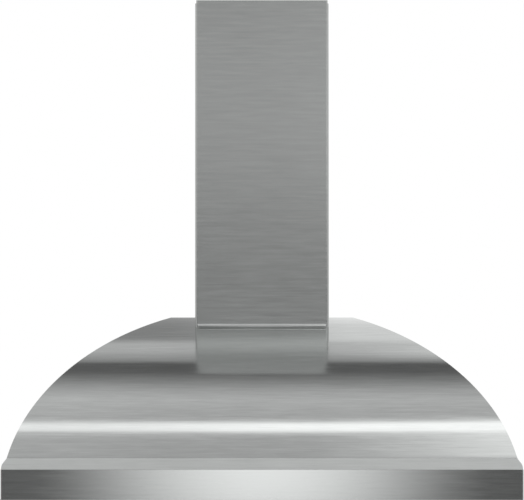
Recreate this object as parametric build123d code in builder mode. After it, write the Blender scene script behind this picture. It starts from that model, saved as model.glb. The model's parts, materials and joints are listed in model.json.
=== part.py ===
from build123d import *
import os
from math import cos, pi, radians, sin, sqrt, tan

# Wall mount range hood, 42 in wide, with a vaulted canopy and a telescopic chimney.
# Millimetres. +X is the viewer's right, the front faces -Y, the wall is the plane y = 0.
# The origin is the centre of the four wall screws. Heights are counted from the lip's bottom edge.

os.makedirs("parts", exist_ok=True)

# Overall sizes
WIDTH = 1067.0
DEPTH = 609.6
TOP_HEIGHT = 1042.0
LIP_HEIGHT = 63.0
DOME_RISE = 404.0
DECK_HEIGHT = 377.0
CHIMNEY_WIDTH = 280.0
CHIMNEY_DEPTH = 290.0
UPPER_REVEAL = 7.0

# Wall screws
WALL_SCREW_HEIGHT = 285.0
WALL_SCREW_SPACING_X = 400.0
WALL_SCREW_SPACING_Z = 90.0
WALL_SCREW_HOLE_R = 4.0

# Sheet thicknesses
SHEET = 1.2
LIP_SHEET = 1.5
THIN_SHEET = 1.0
BEND_R = 5.0

# Fits
FIT_GAP = 0.3
SCREW_HOLE_R = 2.6
SCREW_R = 2.4


def up(height):
    """The z of a height above the lip's bottom edge."""
    return height - WALL_SCREW_HEIGHT


# Canopy vault
# The front sheet is one elliptical curve run along X, each side sheet the same curve run along Y,
# and they meet in mitres that climb from the lip's front corners.

LEDGE = 1.0
RIM_R = 0.7
FLARE_LEAN = radians(38.0)
FLARE_TALL = 30.0
KNEE_R = 18.0
SHOULDER_R = 22.0
SHOULDER_TALL = 8.0


def vault_form(plane, reach, run, inset):
    """A run of the elliptical section on a plane whose local x points away from the vault's face.

    The section fills -reach to +reach, from the lip's top to the deck, drawn in by `inset`. At
    its foot it bends out into a flare, and the flare bends down again into a shoulder on the lip.
    """
    foot_x = reach - LEDGE - inset
    bend_height = LIP_HEIGHT + SHOULDER_TALL - inset * tan(FLARE_LEAN / 2)
    flare_x = foot_x - FLARE_TALL * tan(FLARE_LEAN)
    with BuildPart() as form:
        with BuildSketch(plane) as section:
            with Locations((0, up(0))):
                Ellipse(reach - inset, DOME_RISE - inset)
            with Locations((0, up(LIP_HEIGHT))):
                span = (Align.CENTER, Align.MIN)
                Rectangle(2 * reach, DECK_HEIGHT - LIP_HEIGHT, align=span, mode=Mode.INTERSECT)
            with BuildLine():
                Polyline(
                    (-foot_x, up(LIP_HEIGHT)),
                    (-foot_x, up(bend_height)),
                    (-flare_x, up(bend_height + FLARE_TALL)),
                    (flare_x, up(bend_height + FLARE_TALL)),
                    (foot_x, up(bend_height)),
                    (foot_x, up(LIP_HEIGHT)),
                    close=True,
                )
            make_face()
            knees = section.vertices().group_by(Axis.Y)[2]
            fillet(knees, KNEE_R + inset)
            bends = section.vertices().group_by(Axis.Y)[1]
            fillet(bends, SHOULDER_R - inset)
        extrude(amount=run, both=True)
    return form.part


front_outer = vault_form(Plane.YZ, DEPTH, WIDTH, 0)
front_inner = vault_form(Plane.YZ, DEPTH, WIDTH, SHEET)
side_outer = vault_form(Plane.XZ, WIDTH / 2, WIDTH, 0)
side_inner = vault_form(Plane.XZ, WIDTH / 2, WIDTH, SHEET)

LIP_CORNER_R = 3.0
MIN_CORNER_R = 0.5


def lip_plan(inset, back=0.0):
    """The canopy's plan, drawn in from the lip's faces, open past the wall by `back`."""
    radius = max(LIP_CORNER_R - inset, MIN_CORNER_R)
    with BuildSketch() as plan:
        with Locations((0, back)):
            Rectangle(WIDTH - 2 * inset, DEPTH - inset + back, align=(Align.CENTER, Align.MAX))
        fillet(plan.vertices().group_by(Axis.Y)[0], radius)
    return plan.sketch


plan_outline = lip_plan(0)

with BuildPart() as canopy_front:
    with BuildSketch(Plane.XY.offset(up(LIP_HEIGHT))):
        add(plan_outline)
    extrude(amount=DECK_HEIGHT - LIP_HEIGHT)
    add(front_outer, mode=Mode.INTERSECT)
    add(side_outer, mode=Mode.INTERSECT)
    add(front_inner, mode=Mode.SUBTRACT)
canopy_front.part.label = "canopy_front"
export_step(canopy_front.part, "parts/canopy_front.step")

for side_name, side in (("left", -1), ("right", 1)):
    with BuildPart() as canopy_side:
        with BuildSketch(Plane.XY.offset(up(LIP_HEIGHT))):
            add(plan_outline)
            with Locations((side * WIDTH / 4, -DEPTH / 2)):
                Rectangle(WIDTH / 2, DEPTH, mode=Mode.INTERSECT)
        extrude(amount=DECK_HEIGHT - LIP_HEIGHT)
        add(front_inner, mode=Mode.INTERSECT)
        add(side_outer, mode=Mode.INTERSECT)
        add(side_inner, mode=Mode.SUBTRACT)
    canopy_side.part.label = f"canopy_{side_name}_side"
    export_step(canopy_side.part, f"parts/canopy_{side_name}_side.step")

# Blower places, used by the deck, the collar and the scroll
BACK_SHEET = 1.5
DUCT_Y = -118.0
SCROLL_HALF_WIDTH = 85.0
SCROLL_STEP = 18.0
SCROLL_FIRST_R = 107.0
OUTLET_DEPTH = 2 * SCROLL_STEP + SCROLL_FIRST_R + SCROLL_STEP
FLANGE = 16.0
OUTLET_SCREW_X = SCROLL_HALF_WIDTH + 9.0
OUTLET_SCREW_Y = OUTLET_DEPTH / 2 + 9.0


def outlet_screw_places():
    """Two screws on each side of the outlet."""
    places = []
    for sign in (-1, 1):
        for share in (-0.5, 0.5):
            places.append((sign * OUTLET_SCREW_X, DUCT_Y + share * OUTLET_DEPTH))
            places.append((share * 2 * SCROLL_HALF_WIDTH, DUCT_Y + sign * OUTLET_SCREW_Y))
    return places


with BuildPart() as canopy_deck:
    with BuildSketch(Plane.XY.offset(up(DECK_HEIGHT - SHEET))):
        with Locations((0, -BACK_SHEET)):
            Rectangle(WIDTH, DEPTH, align=(Align.CENTER, Align.MAX))
        with Locations((0, DUCT_Y)):
            Rectangle(2 * SCROLL_HALF_WIDTH, OUTLET_DEPTH, mode=Mode.SUBTRACT)
        with Locations(*outlet_screw_places()):
            Circle(SCREW_HOLE_R, mode=Mode.SUBTRACT)
    extrude(amount=SHEET)
    add(front_inner, mode=Mode.INTERSECT)
    add(side_inner, mode=Mode.INTERSECT)
canopy_deck.part.label = "canopy_deck"
export_step(canopy_deck.part, "parts/canopy_deck.step")

# The back panel closes the vault at the wall, and carries the wall screws and the conduit hole.
CONDUIT_R = 11.1
BOX_X = 275.0
BOX_HEIGHT = 250.0
CORNER_CLEAR = 60.0

with BuildPart() as canopy_back:
    with BuildSketch(Plane.XZ):
        with Locations((0, up(LIP_HEIGHT))):
            Rectangle(WIDTH, DECK_HEIGHT - LIP_HEIGHT, align=(Align.CENTER, Align.MIN))
    extrude(amount=BACK_SHEET)
    add(side_inner, mode=Mode.INTERSECT)
    with BuildSketch(Plane.XZ):
        with Locations((0, up(0))):
            Rectangle(WIDTH - 2 * LIP_SHEET, LIP_HEIGHT, align=(Align.CENTER, Align.MIN))
        with Locations((0, up(LIP_HEIGHT))):
            Rectangle(WIDTH, LIP_SHEET, align=(Align.CENTER, Align.MAX), mode=Mode.SUBTRACT)
            Rectangle(WIDTH - CORNER_CLEAR, LIP_SHEET, align=(Align.CENTER, Align.MAX))
        with Locations((0, up(0))):
            Rectangle(WIDTH, LIP_SHEET, align=(Align.CENTER, Align.MIN), mode=Mode.SUBTRACT)
            Rectangle(WIDTH - CORNER_CLEAR, LIP_SHEET, align=(Align.CENTER, Align.MIN))
    extrude(amount=BACK_SHEET)
    with BuildSketch(Plane.XZ):
        with GridLocations(WALL_SCREW_SPACING_X, WALL_SCREW_SPACING_Z, 2, 2):
            Circle(WALL_SCREW_HOLE_R)
        with Locations((BOX_X, up(BOX_HEIGHT))):
            Circle(CONDUIT_R)
    extrude(amount=BACK_SHEET, mode=Mode.SUBTRACT)
canopy_back.part.label = "canopy_back"
export_step(canopy_back.part, "parts/canopy_back.step")

# The lip is one folded band round the front and both sides, with a return at its top that the
# vault stands on and a return at its bottom that stiffens the edge.
TOP_RETURN = 16.0
BOTTOM_RETURN = 10.0
OPEN_BACK = 5.0
lip_inside = lip_plan(LIP_SHEET, OPEN_BACK)
top_opening = lip_plan(TOP_RETURN, OPEN_BACK)
bottom_opening = lip_plan(BOTTOM_RETURN, OPEN_BACK)

with BuildPart() as lip_band:
    with BuildSketch(Plane.XY.offset(up(0))):
        add(plan_outline)
    extrude(amount=LIP_HEIGHT)
    rims = lip_band.faces().filter_by(Axis.Z).edges().filter_by(lambda e: e.center().Y < -1)
    fillet(rims, RIM_R)
    with BuildSketch(Plane.XY.offset(up(LIP_SHEET))):
        add(lip_inside)
    extrude(amount=LIP_HEIGHT - 2 * LIP_SHEET, mode=Mode.SUBTRACT)
    with BuildSketch(Plane.XY.offset(up(LIP_HEIGHT - LIP_SHEET))):
        add(top_opening)
    extrude(amount=LIP_SHEET, mode=Mode.SUBTRACT)
    with BuildSketch(Plane.XY.offset(up(0))):
        add(bottom_opening)
    extrude(amount=LIP_SHEET, mode=Mode.SUBTRACT)
lip_band.part.label = "lip_band"
export_step(lip_band.part, "parts/lip_band.step")

# Underside rails
RAIL_HEIGHT = 22.0
RAIL_TOP = RAIL_HEIGHT + SHEET
UPSTAND = 28.0
BAY_FRONT = 515.3
BAY_REAR = 93.0
BAY_HALF_WIDTH = 476.0
BAY_WALL_TOP = 78.0
LAMP_X = 300.0
CONTROL_Y = -556.0
LAMP_HOLE_R = 31.0
CUTOUT_LENGTH = 162.0
CUTOUT_WIDTH = 26.0
RAIL_GAP = 0.2
rail_plan = lip_plan(LIP_SHEET + RAIL_GAP)
rail_inside = lip_plan(LIP_SHEET + RAIL_GAP + SHEET)

with BuildPart() as front_rail:
    with BuildSketch(Plane.XY.offset(up(RAIL_HEIGHT))):
        add(rail_plan)
        with Locations((0, -BAY_FRONT)):
            Rectangle(WIDTH, DEPTH - BAY_FRONT, align=(Align.CENTER, Align.MAX), mode=Mode.INTERSECT)
        with Locations((-LAMP_X, CONTROL_Y), (LAMP_X, CONTROL_Y)):
            Circle(LAMP_HOLE_R, mode=Mode.SUBTRACT)
        with Locations((0, CONTROL_Y)):
            Rectangle(CUTOUT_LENGTH, CUTOUT_WIDTH, mode=Mode.SUBTRACT)
    extrude(amount=SHEET)
    with BuildSketch(Plane.XY.offset(up(RAIL_TOP))):
        add(rail_plan)
        add(rail_inside, mode=Mode.SUBTRACT)
        with Locations((0, -BAY_FRONT)):
            Rectangle(WIDTH, DEPTH - BAY_FRONT, align=(Align.CENTER, Align.MAX), mode=Mode.INTERSECT)
    extrude(amount=UPSTAND)
    with BuildSketch(Plane.XY.offset(up(RAIL_TOP))):
        with Locations((0, -BAY_FRONT)):
            Rectangle(2 * BAY_HALF_WIDTH, SHEET, align=(Align.CENTER, Align.MAX))
    extrude(amount=BAY_WALL_TOP - RAIL_TOP)
front_rail.part.label = "front_rail"
export_step(front_rail.part, "parts/front_rail.step")

for side_name, side in (("left", -1), ("right", 1)):
    outer_x = WIDTH / 2 - LIP_SHEET - RAIL_GAP
    rail_width = outer_x - BAY_HALF_WIDTH
    with BuildPart() as side_rail:
        with BuildSketch(Plane.XY.offset(up(RAIL_HEIGHT))):
            with Locations((side * (outer_x - rail_width / 2), -(BAY_FRONT + BAY_REAR) / 2)):
                Rectangle(rail_width, BAY_FRONT - BAY_REAR)
        extrude(amount=SHEET)
        with BuildSketch(Plane.XY.offset(up(RAIL_TOP))):
            with Locations((side * (outer_x - SHEET / 2), -(BAY_FRONT + BAY_REAR) / 2)):
                Rectangle(SHEET, BAY_FRONT - BAY_REAR)
        extrude(amount=UPSTAND)
        with BuildSketch(Plane.XY.offset(up(RAIL_TOP))):
            with Locations((side * (BAY_HALF_WIDTH + SHEET / 2), -(BAY_FRONT + BAY_REAR) / 2)):
                Rectangle(SHEET, BAY_FRONT - BAY_REAR)
        extrude(amount=BAY_WALL_TOP - RAIL_TOP)
    side_rail.part.label = f"{side_name}_side_rail"
    export_step(side_rail.part, f"parts/{side_name}_side_rail.step")

BAY_PITCH = 322.0
DRAIN_LENGTH = 290.0
DRAIN_WIDTH = 44.0
DRAIN_Y = -60.0
rail_back_y = -(BACK_SHEET + RAIL_GAP)

with BuildPart() as rear_rail:
    with BuildSketch(Plane.XY.offset(up(RAIL_HEIGHT))):
        with Locations((0, rail_back_y)):
            Rectangle(2 * outer_x, BAY_REAR + rail_back_y, align=(Align.CENTER, Align.MAX))
        with Locations((0, DRAIN_Y)):
            with GridLocations(BAY_PITCH, 0, 3, 1):
                Rectangle(DRAIN_LENGTH, DRAIN_WIDTH, mode=Mode.SUBTRACT)
    extrude(amount=SHEET)
    with BuildSketch(Plane.XY.offset(up(RAIL_TOP))):
        with Locations((0, rail_back_y)):
            Rectangle(2 * outer_x, SHEET, align=(Align.CENTER, Align.MAX))
    extrude(amount=UPSTAND)
rear_rail.part.label = "rear_rail"
export_step(rear_rail.part, "parts/rear_rail.step")

# Baffle filters
# Each leans 4 degrees so that grease runs back to the tray, and tips down about the rear ledge.
FILTER_TILT = 4.0
FILTER_WIDTH = 304.0
FILTER_BEHIND = 7.0
FILTER_AHEAD = 421.0
FILTER_THICK = 22.0
FRAME_FLANGE = 14.0
PIVOT_HEIGHT = 24.0
FILTER_LENGTH = FILTER_AHEAD + FILTER_BEHIND
filter_mid = (FILTER_BEHIND - FILTER_AHEAD) / 2
tilt_sin = sin(radians(FILTER_TILT))
tilt_cos = cos(radians(FILTER_TILT))

# Each baffle is a folded channel. The lower row stands open side up, the upper row hangs between.
BAFFLE_PITCH = 34.0
BAFFLE_HALF = 12.0
BAFFLE_DEPTH = 12.0
BAFFLE_CORNER = 3.0
BAFFLE_SHEET = 0.8
LOWER_BAFFLES = 8
UPPER_BAFFLES = 9

# Bail handle
BAIL_WIRE_R = 2.5
BAIL_HALF = 45.0
BAIL_DROP = 24.0
BAIL_STUB = 9.0
BAIL_AHEAD = 390.0
BAIL_AXIS_DROP = 5.5
CLIP_WIDTH = 5.0
CLIP_WALL = 1.4
CLIP_LAP = 1.5
CLIP_R = BAIL_WIRE_R + CLIP_WALL
CLIP_X = BAIL_HALF - BAIL_STUB + CLIP_WIDTH / 2 - CLIP_LAP
CLIP_PLAY = 0.15
STRAP_DEPTH = 16.0
STRAP_OVERRUN = 10.0
STRAP_LENGTH = 2 * (BAIL_HALF + STRAP_OVERRUN)
BAIL_BEND_R = 4.0


def filter_plane(x, ahead=0.0, rise=0.0):
    """A plane on the filter's lower face, `ahead` of its pivot line and `rise` above the face."""
    y = -BAY_REAR - ahead * tilt_cos + rise * tilt_sin
    z = up(PIVOT_HEIGHT) + ahead * tilt_sin + rise * tilt_cos
    return Plane(origin=(x, y, z), x_dir=(1, 0, 0), z_dir=(0, tilt_sin, tilt_cos))


def channel_outline(centre, base, direction, inset):
    """The corners of a folded channel's face, its web at `base`, its legs in `direction`."""
    half = BAFFLE_HALF - inset
    web = base + direction * inset
    knee = web + direction * BAFFLE_CORNER
    tips = base + direction * (BAFFLE_DEPTH + inset)
    return [
        (centre - half + BAFFLE_CORNER, web),
        (centre + half - BAFFLE_CORNER, web),
        (centre + half, knee),
        (centre + half, tips),
        (centre - half, tips),
        (centre - half, knee),
    ]


def baffle_row(count, base, direction):
    """The section through one row, with x across the filter and y up from its lower face."""
    with BuildSketch() as row:
        for index in range(count):
            centre = (index - (count - 1) / 2) * BAFFLE_PITCH
            for inset, mode in ((0, Mode.ADD), (BAFFLE_SHEET, Mode.SUBTRACT)):
                with BuildLine():
                    Polyline(*channel_outline(centre, base, direction, inset), close=True)
                make_face(mode=mode)
    return row.sketch


lower_row = baffle_row(LOWER_BAFFLES, THIN_SHEET, 1)
upper_row = baffle_row(UPPER_BAFFLES, FILTER_THICK - THIN_SHEET, -1)

for bay_name, bay_x in (("left", -BAY_PITCH), ("middle", 0.0), ("right", BAY_PITCH)):
    with BuildPart() as filter_frame:
        with BuildSketch(filter_plane(bay_x)):
            with Locations((0, filter_mid)):
                Rectangle(FILTER_WIDTH, FILTER_LENGTH)
        extrude(amount=FILTER_THICK)
        with BuildSketch(filter_plane(bay_x, 0, THIN_SHEET)):
            with Locations((0, filter_mid)):
                Rectangle(FILTER_WIDTH - 2 * THIN_SHEET, FILTER_LENGTH - 2 * THIN_SHEET)
        extrude(amount=FILTER_THICK - 2 * THIN_SHEET, mode=Mode.SUBTRACT)
        with BuildSketch(filter_plane(bay_x)):
            with Locations((0, filter_mid)):
                Rectangle(FILTER_WIDTH - 2 * FRAME_FLANGE, FILTER_LENGTH - 2 * FRAME_FLANGE)
        extrude(amount=FILTER_THICK, mode=Mode.SUBTRACT)
    filter_frame.part.label = f"{bay_name}_filter_frame"
    export_step(filter_frame.part, f"parts/{bay_name}_filter_frame.step")

    # The baffles' section is run along the filter, from its rear end to its front end.
    bail_plane = filter_plane(bay_x, BAIL_AHEAD)
    axis_point = filter_plane(bay_x, BAIL_AHEAD, -BAIL_AXIS_DROP).origin
    rear_end = filter_plane(bay_x, THIN_SHEET + FIT_GAP - FILTER_BEHIND)
    section_plane = Plane(origin=rear_end.origin, x_dir=(1, 0, 0), z_dir=-rear_end.y_dir)
    with BuildPart() as filter_baffles:
        with BuildSketch(section_plane):
            add(lower_row)
            add(upper_row)
        extrude(amount=FILTER_LENGTH - 2 * (THIN_SHEET + FIT_GAP))
        # A strap welded across the lower row carries the two clips that the bail turns in.
        with BuildSketch(bail_plane):
            Rectangle(STRAP_LENGTH, STRAP_DEPTH)
        extrude(amount=THIN_SHEET)
        for sign in (-1, 1):
            clip_plane = Plane(
                origin=(bay_x + sign * CLIP_X - CLIP_WIDTH / 2, axis_point.Y, axis_point.Z),
                x_dir=bail_plane.y_dir,
                z_dir=(1, 0, 0),
            )
            with BuildSketch(clip_plane):
                Circle(CLIP_R)
                Rectangle(2 * CLIP_R, BAIL_AXIS_DROP, align=(Align.CENTER, Align.MIN))
                Circle(BAIL_WIRE_R + CLIP_PLAY, mode=Mode.SUBTRACT)
            extrude(amount=CLIP_WIDTH)
    filter_baffles.part.label = f"{bay_name}_filter_baffles"
    export_step(filter_baffles.part, f"parts/{bay_name}_filter_baffles.step")

    # The bail hangs plumb from the clips.
    with BuildPart() as filter_handle:
        with BuildLine(Plane.XZ.offset(-axis_point.Y)) as bail_path:
            FilletPolyline(
                (bay_x - BAIL_HALF + BAIL_STUB, axis_point.Z),
                (bay_x - BAIL_HALF, axis_point.Z),
                (bay_x - BAIL_HALF, axis_point.Z - BAIL_DROP),
                (bay_x + BAIL_HALF, axis_point.Z - BAIL_DROP),
                (bay_x + BAIL_HALF, axis_point.Z),
                (bay_x + BAIL_HALF - BAIL_STUB, axis_point.Z),
                radius=BAIL_BEND_R,
            )
        with BuildSketch(Plane(origin=bail_path.line @ 0, z_dir=bail_path.line % 0)):
            Circle(BAIL_WIRE_R)
        sweep()
    filter_handle.part.label = f"{bay_name}_filter_handle"
    export_step(filter_handle.part, f"parts/{bay_name}_filter_handle.step")

# A bowed leaf spring on the front rail presses on each filter's front edge and holds it up.
LEAF_WIDTH = 24.0
LEAF_SHEET = 0.6
LEAF_HALF_TALL = 12.0
LEAF_BOW = 1.5
LEAF_RISE = 9.0
front_edge = filter_plane(0, FILTER_AHEAD, LEAF_RISE).origin

with BuildPart() as filter_catches:
    with BuildSketch(Plane.YZ.offset(-LEAF_WIDTH / 2)):
        with BuildLine():
            low = Vector(-BAY_FRONT, front_edge.Z - LEAF_HALF_TALL)
            high = Vector(-BAY_FRONT, front_edge.Z + LEAF_HALF_TALL)
            crest = Vector(-BAY_FRONT + LEAF_BOW, front_edge.Z)
            inner_low = low + Vector(0, LEAF_SHEET)
            inner_high = high - Vector(0, LEAF_SHEET)
            ThreePointArc(low, crest, high)
            Line(high, inner_high)
            ThreePointArc(inner_high, crest - Vector(LEAF_SHEET, 0), inner_low)
            Line(inner_low, low)
        make_face()
    leaf = extrude(amount=LEAF_WIDTH, mode=Mode.PRIVATE)
    with Locations((-BAY_PITCH, 0, 0), (0, 0, 0), (BAY_PITCH, 0, 0)):
        add(leaf)
filter_catches.part.label = "filter_catches"
export_step(filter_catches.part, "parts/filter_catches.step")

# Two channel bars part the three bays, from the rear ledge up to the front rail.
DIVIDER_WIDTH = 12.0
DIVIDER_TALL = 18.0

divider_front = up(PIVOT_HEIGHT) + (BAY_FRONT - BAY_REAR) * tilt_sin / tilt_cos
divider_side = (
    (-BAY_REAR + FILTER_BEHIND, up(RAIL_TOP)),
    (-BAY_REAR, up(RAIL_TOP)),
    (-BAY_FRONT, divider_front),
    (-BAY_FRONT, divider_front + DIVIDER_TALL),
    (-BAY_REAR + FILTER_BEHIND, up(RAIL_TOP) + DIVIDER_TALL),
)

with BuildPart() as filter_dividers:
    for sign in (-1, 1):
        with BuildSketch(Plane.YZ.offset(sign * BAY_PITCH / 2)):
            with BuildLine():
                Polyline(*divider_side, close=True)
            make_face()
        extrude(amount=DIVIDER_WIDTH / 2, both=True)
        with BuildSketch(Plane.YZ.offset(sign * BAY_PITCH / 2)):
            with BuildLine():
                Polyline(*[(y, z + SHEET) for y, z in divider_side], close=True)
            make_face()
        extrude(amount=DIVIDER_WIDTH / 2 - SHEET, both=True, mode=Mode.SUBTRACT)
filter_dividers.part.label = "filter_dividers"
export_step(filter_dividers.part, "parts/filter_dividers.step")

# Grease tray under the rear rail, with a guide at each end
TRAY_HALF_LENGTH = 468.0
TRAY_FRONT = 90.0
TRAY_BACK = 28.0
TRAY_TOP = 21.7
TRAY_DEEP = 18.0
TRAY_CORNER_R = 6.0
GUIDE_TALL = 16.0
GUIDE_LENGTH = 40.0
GUIDE_FLANGE = 18.0
GUIDE_PLAY = 1.0
tray_mid = -(TRAY_FRONT + TRAY_BACK) / 2
tray_width = TRAY_FRONT - TRAY_BACK

with BuildPart() as grease_tray:
    with BuildSketch(Plane.XY.offset(up(TRAY_TOP - TRAY_DEEP))):
        with Locations((0, tray_mid)):
            RectangleRounded(2 * TRAY_HALF_LENGTH, tray_width, TRAY_CORNER_R)
    extrude(amount=TRAY_DEEP)
    offset(amount=-THIN_SHEET, openings=grease_tray.faces().sort_by(Axis.Z)[-1])
grease_tray.part.label = "grease_tray"
export_step(grease_tray.part, "parts/grease_tray.step")

with BuildPart() as tray_guides:
    for sign in (-1, 1):
        with BuildSketch(Plane.XY.offset(up(RAIL_HEIGHT - GUIDE_TALL))):
            with Locations((sign * (TRAY_HALF_LENGTH + GUIDE_PLAY + SHEET / 2), tray_mid)):
                Rectangle(SHEET, GUIDE_LENGTH)
        extrude(amount=GUIDE_TALL)
        with BuildSketch(Plane.XY.offset(up(RAIL_HEIGHT - SHEET))):
            with Locations((sign * (TRAY_HALF_LENGTH + GUIDE_PLAY + GUIDE_FLANGE / 2), tray_mid)):
                Rectangle(GUIDE_FLANGE, GUIDE_LENGTH)
        extrude(amount=SHEET)
tray_guides.part.label = "tray_guides"
export_step(tray_guides.part, "parts/tray_guides.step")

# Lamps: a can over the front rail, a bezel under it, a glass and a reflector bulb
CAN_TOP = 74.0
LENS_BOTTOM = RAIL_HEIGHT - 1.0
LENS_THICK = 2.5
LENS_R = 27.3
SOCKET_R = 12.0
SOCKET_DEEP = 12.0
CAN_R = LAMP_HOLE_R + 1.0
CAN_FLANGE = 5.0
BEZEL_DROP = 3.0
BEZEL_BEVEL = 1.8
BEZEL_R = LAMP_HOLE_R + 5.5
BEZEL_SLEEVE_R = LAMP_HOLE_R - 1.0
BEZEL_SLEEVE_TALL = 8.0
BEZEL_LIP = 2.3
BULB_R = 23.0
BULB_FACE = 30.0
BULB_RIM = 2.0
BULB_NECK_R = 9.0
BULB_NECK = 54.0

for side_name, side in (("left", -1), ("right", 1)):
    lamp_axis = Axis((side * LAMP_X, CONTROL_Y, 0), (0, 0, 1))
    lamp_plane = Plane(origin=(side * LAMP_X, CONTROL_Y, up(0)), x_dir=(1, 0, 0), z_dir=(0, -1, 0))

    with BuildPart() as lamp_can:
        with BuildSketch(lamp_plane):
            with BuildLine():
                Polyline(
                    (CAN_R, RAIL_TOP),
                    (CAN_R + CAN_FLANGE, RAIL_TOP),
                    (CAN_R + CAN_FLANGE, RAIL_TOP + SHEET),
                    (CAN_R + SHEET, RAIL_TOP + SHEET),
                    (CAN_R + SHEET, CAN_TOP),
                    (0, CAN_TOP),
                    (0, CAN_TOP - SOCKET_DEEP),
                    (SOCKET_R, CAN_TOP - SOCKET_DEEP),
                    (SOCKET_R, CAN_TOP - SHEET),
                    (CAN_R, CAN_TOP - SHEET),
                    close=True,
                )
            make_face()
        revolve(axis=lamp_axis)
    lamp_can.part.label = f"{side_name}_lamp_can"
    export_step(lamp_can.part, f"parts/{side_name}_lamp_can.step")

    with BuildPart() as lamp_bezel:
        with BuildSketch(lamp_plane):
            with BuildLine():
                Polyline(
                    (LENS_R - BEZEL_LIP, RAIL_HEIGHT - BEZEL_DROP + BEZEL_BEVEL / 2),
                    (LENS_R - BEZEL_LIP + BEZEL_BEVEL, RAIL_HEIGHT - BEZEL_DROP),
                    (BEZEL_R - BEZEL_BEVEL, RAIL_HEIGHT - BEZEL_DROP),
                    (BEZEL_R, RAIL_HEIGHT - BEZEL_DROP + BEZEL_BEVEL),
                    (BEZEL_R, RAIL_HEIGHT),
                    (BEZEL_SLEEVE_R, RAIL_HEIGHT),
                    (BEZEL_SLEEVE_R, RAIL_HEIGHT + BEZEL_SLEEVE_TALL),
                    (LENS_R + FIT_GAP, RAIL_HEIGHT + BEZEL_SLEEVE_TALL),
                    (LENS_R + FIT_GAP, LENS_BOTTOM),
                    (LENS_R - BEZEL_LIP, LENS_BOTTOM),
                    close=True,
                )
            make_face()
        revolve(axis=lamp_axis)
    lamp_bezel.part.label = f"{side_name}_lamp_bezel"
    export_step(lamp_bezel.part, f"parts/{side_name}_lamp_bezel.step")

    with BuildPart() as lamp_lens:
        with BuildSketch(Plane.XY.offset(up(LENS_BOTTOM))):
            with Locations((side * LAMP_X, CONTROL_Y)):
                Circle(LENS_R)
        extrude(amount=LENS_THICK)
    lamp_lens.part.label = f"{side_name}_lamp_lens"
    export_step(lamp_lens.part, f"parts/{side_name}_lamp_lens.step")

# Reflector bulbs hang from the cans' sockets.
with BuildPart() as lamp_bulbs:
    for side in (-1, 1):
        bulb_plane = Plane(origin=(side * LAMP_X, CONTROL_Y, up(0)), x_dir=(1, 0, 0), z_dir=(0, -1, 0))
        with BuildSketch(bulb_plane):
            with BuildLine():
                face = Line((0, BULB_FACE), (BULB_R, BULB_FACE))
                rim = Line(face @ 1, (BULB_R, BULB_FACE + BULB_RIM))
                bowl = TangentArc(rim @ 1, (BULB_NECK_R, BULB_NECK), tangent=(0, 1))
                neck = Line(bowl @ 1, (BULB_NECK_R, CAN_TOP - SOCKET_DEEP))
                base = Line(neck @ 1, (0, CAN_TOP - SOCKET_DEEP))
                Line(base @ 1, face @ 0)
            make_face()
        revolve(axis=Axis(bulb_plane.origin, (0, 0, 1)))
lamp_bulbs.part.label = "lamp_bulbs"
export_step(lamp_bulbs.part, "parts/lamp_bulbs.step")

# Controls: five push buttons in a plate under the front rail, and the switch block above them
BUTTON_PITCH = 34.0
BUTTON_R = 7.9
BUTTON_HOLE_R = 8.2
BUTTON_NAMES = ("off_button", "low_button", "medium_button", "high_button", "light_button")
PLATE_LENGTH = 190.0
PLATE_WIDTH = 36.0
PLATE_THICK = 1.5
PLATE_CORNER_R = 6.0
BUTTON_PROUD = 3.0
BUTTON_EDGE = 0.6
DISH_R = 6.6
DISH_DEEP = 0.9
COLLAR_BELOW = 0.1
BUTTON_COLLAR_R = 9.6
BUTTON_COLLAR_TALL = 2.0
STEM_R = 3.0
STEM_PLAY = 0.3
STEM_ENTRY = 5.0
STEM_BORE_DEEP = 10.0
SWITCH_BOTTOM = 31.0
SWITCH_TOP = 55.0
SWITCH_CORNER_R = 2.0
SWITCH_LENGTH = PLATE_LENGTH - 8.0
SWITCH_WIDTH = PLATE_WIDTH - 4.0
SWITCH_LEG = 8.0
button_xs = [(index - 2) * BUTTON_PITCH for index in range(len(BUTTON_NAMES))]

with BuildPart() as control_plate:
    with BuildSketch(Plane.XY.offset(up(RAIL_HEIGHT - PLATE_THICK))):
        with Locations((0, CONTROL_Y)):
            RectangleRounded(PLATE_LENGTH, PLATE_WIDTH, PLATE_CORNER_R)
        with Locations(*[(x, CONTROL_Y) for x in button_xs]):
            Circle(BUTTON_HOLE_R, mode=Mode.SUBTRACT)
    extrude(amount=PLATE_THICK)
control_plate.part.label = "control_plate"
export_step(control_plate.part, "parts/control_plate.step")

for button_name, button_x in zip(BUTTON_NAMES, button_xs):
    button_axis = Axis((button_x, CONTROL_Y, 0), (0, 0, 1))
    button_plane = Plane(origin=(button_x, CONTROL_Y, up(0)), x_dir=(1, 0, 0), z_dir=(0, -1, 0))
    face_height = RAIL_HEIGHT - PLATE_THICK - BUTTON_PROUD
    collar_height = RAIL_HEIGHT + COLLAR_BELOW
    shoulder_height = RAIL_HEIGHT + BUTTON_COLLAR_TALL
    with BuildPart() as button:
        with BuildSketch(button_plane):
            with BuildLine():
                dish = TangentArc((0, face_height + DISH_DEEP), (DISH_R, face_height), tangent=(1, 0))
                Polyline(
                    dish @ 1,
                    (BUTTON_R - BUTTON_EDGE, face_height),
                    (BUTTON_R, face_height + BUTTON_EDGE),
                    (BUTTON_R, collar_height),
                    (BUTTON_COLLAR_R, collar_height),
                    (BUTTON_COLLAR_R, shoulder_height),
                    (STEM_R, shoulder_height),
                    (STEM_R, SWITCH_BOTTOM + STEM_ENTRY),
                    (0, SWITCH_BOTTOM + STEM_ENTRY),
                    dish @ 0,
                )
            make_face()
        revolve(axis=button_axis)
    button.part.label = button_name
    export_step(button.part, f"parts/{button_name}.step")

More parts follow.
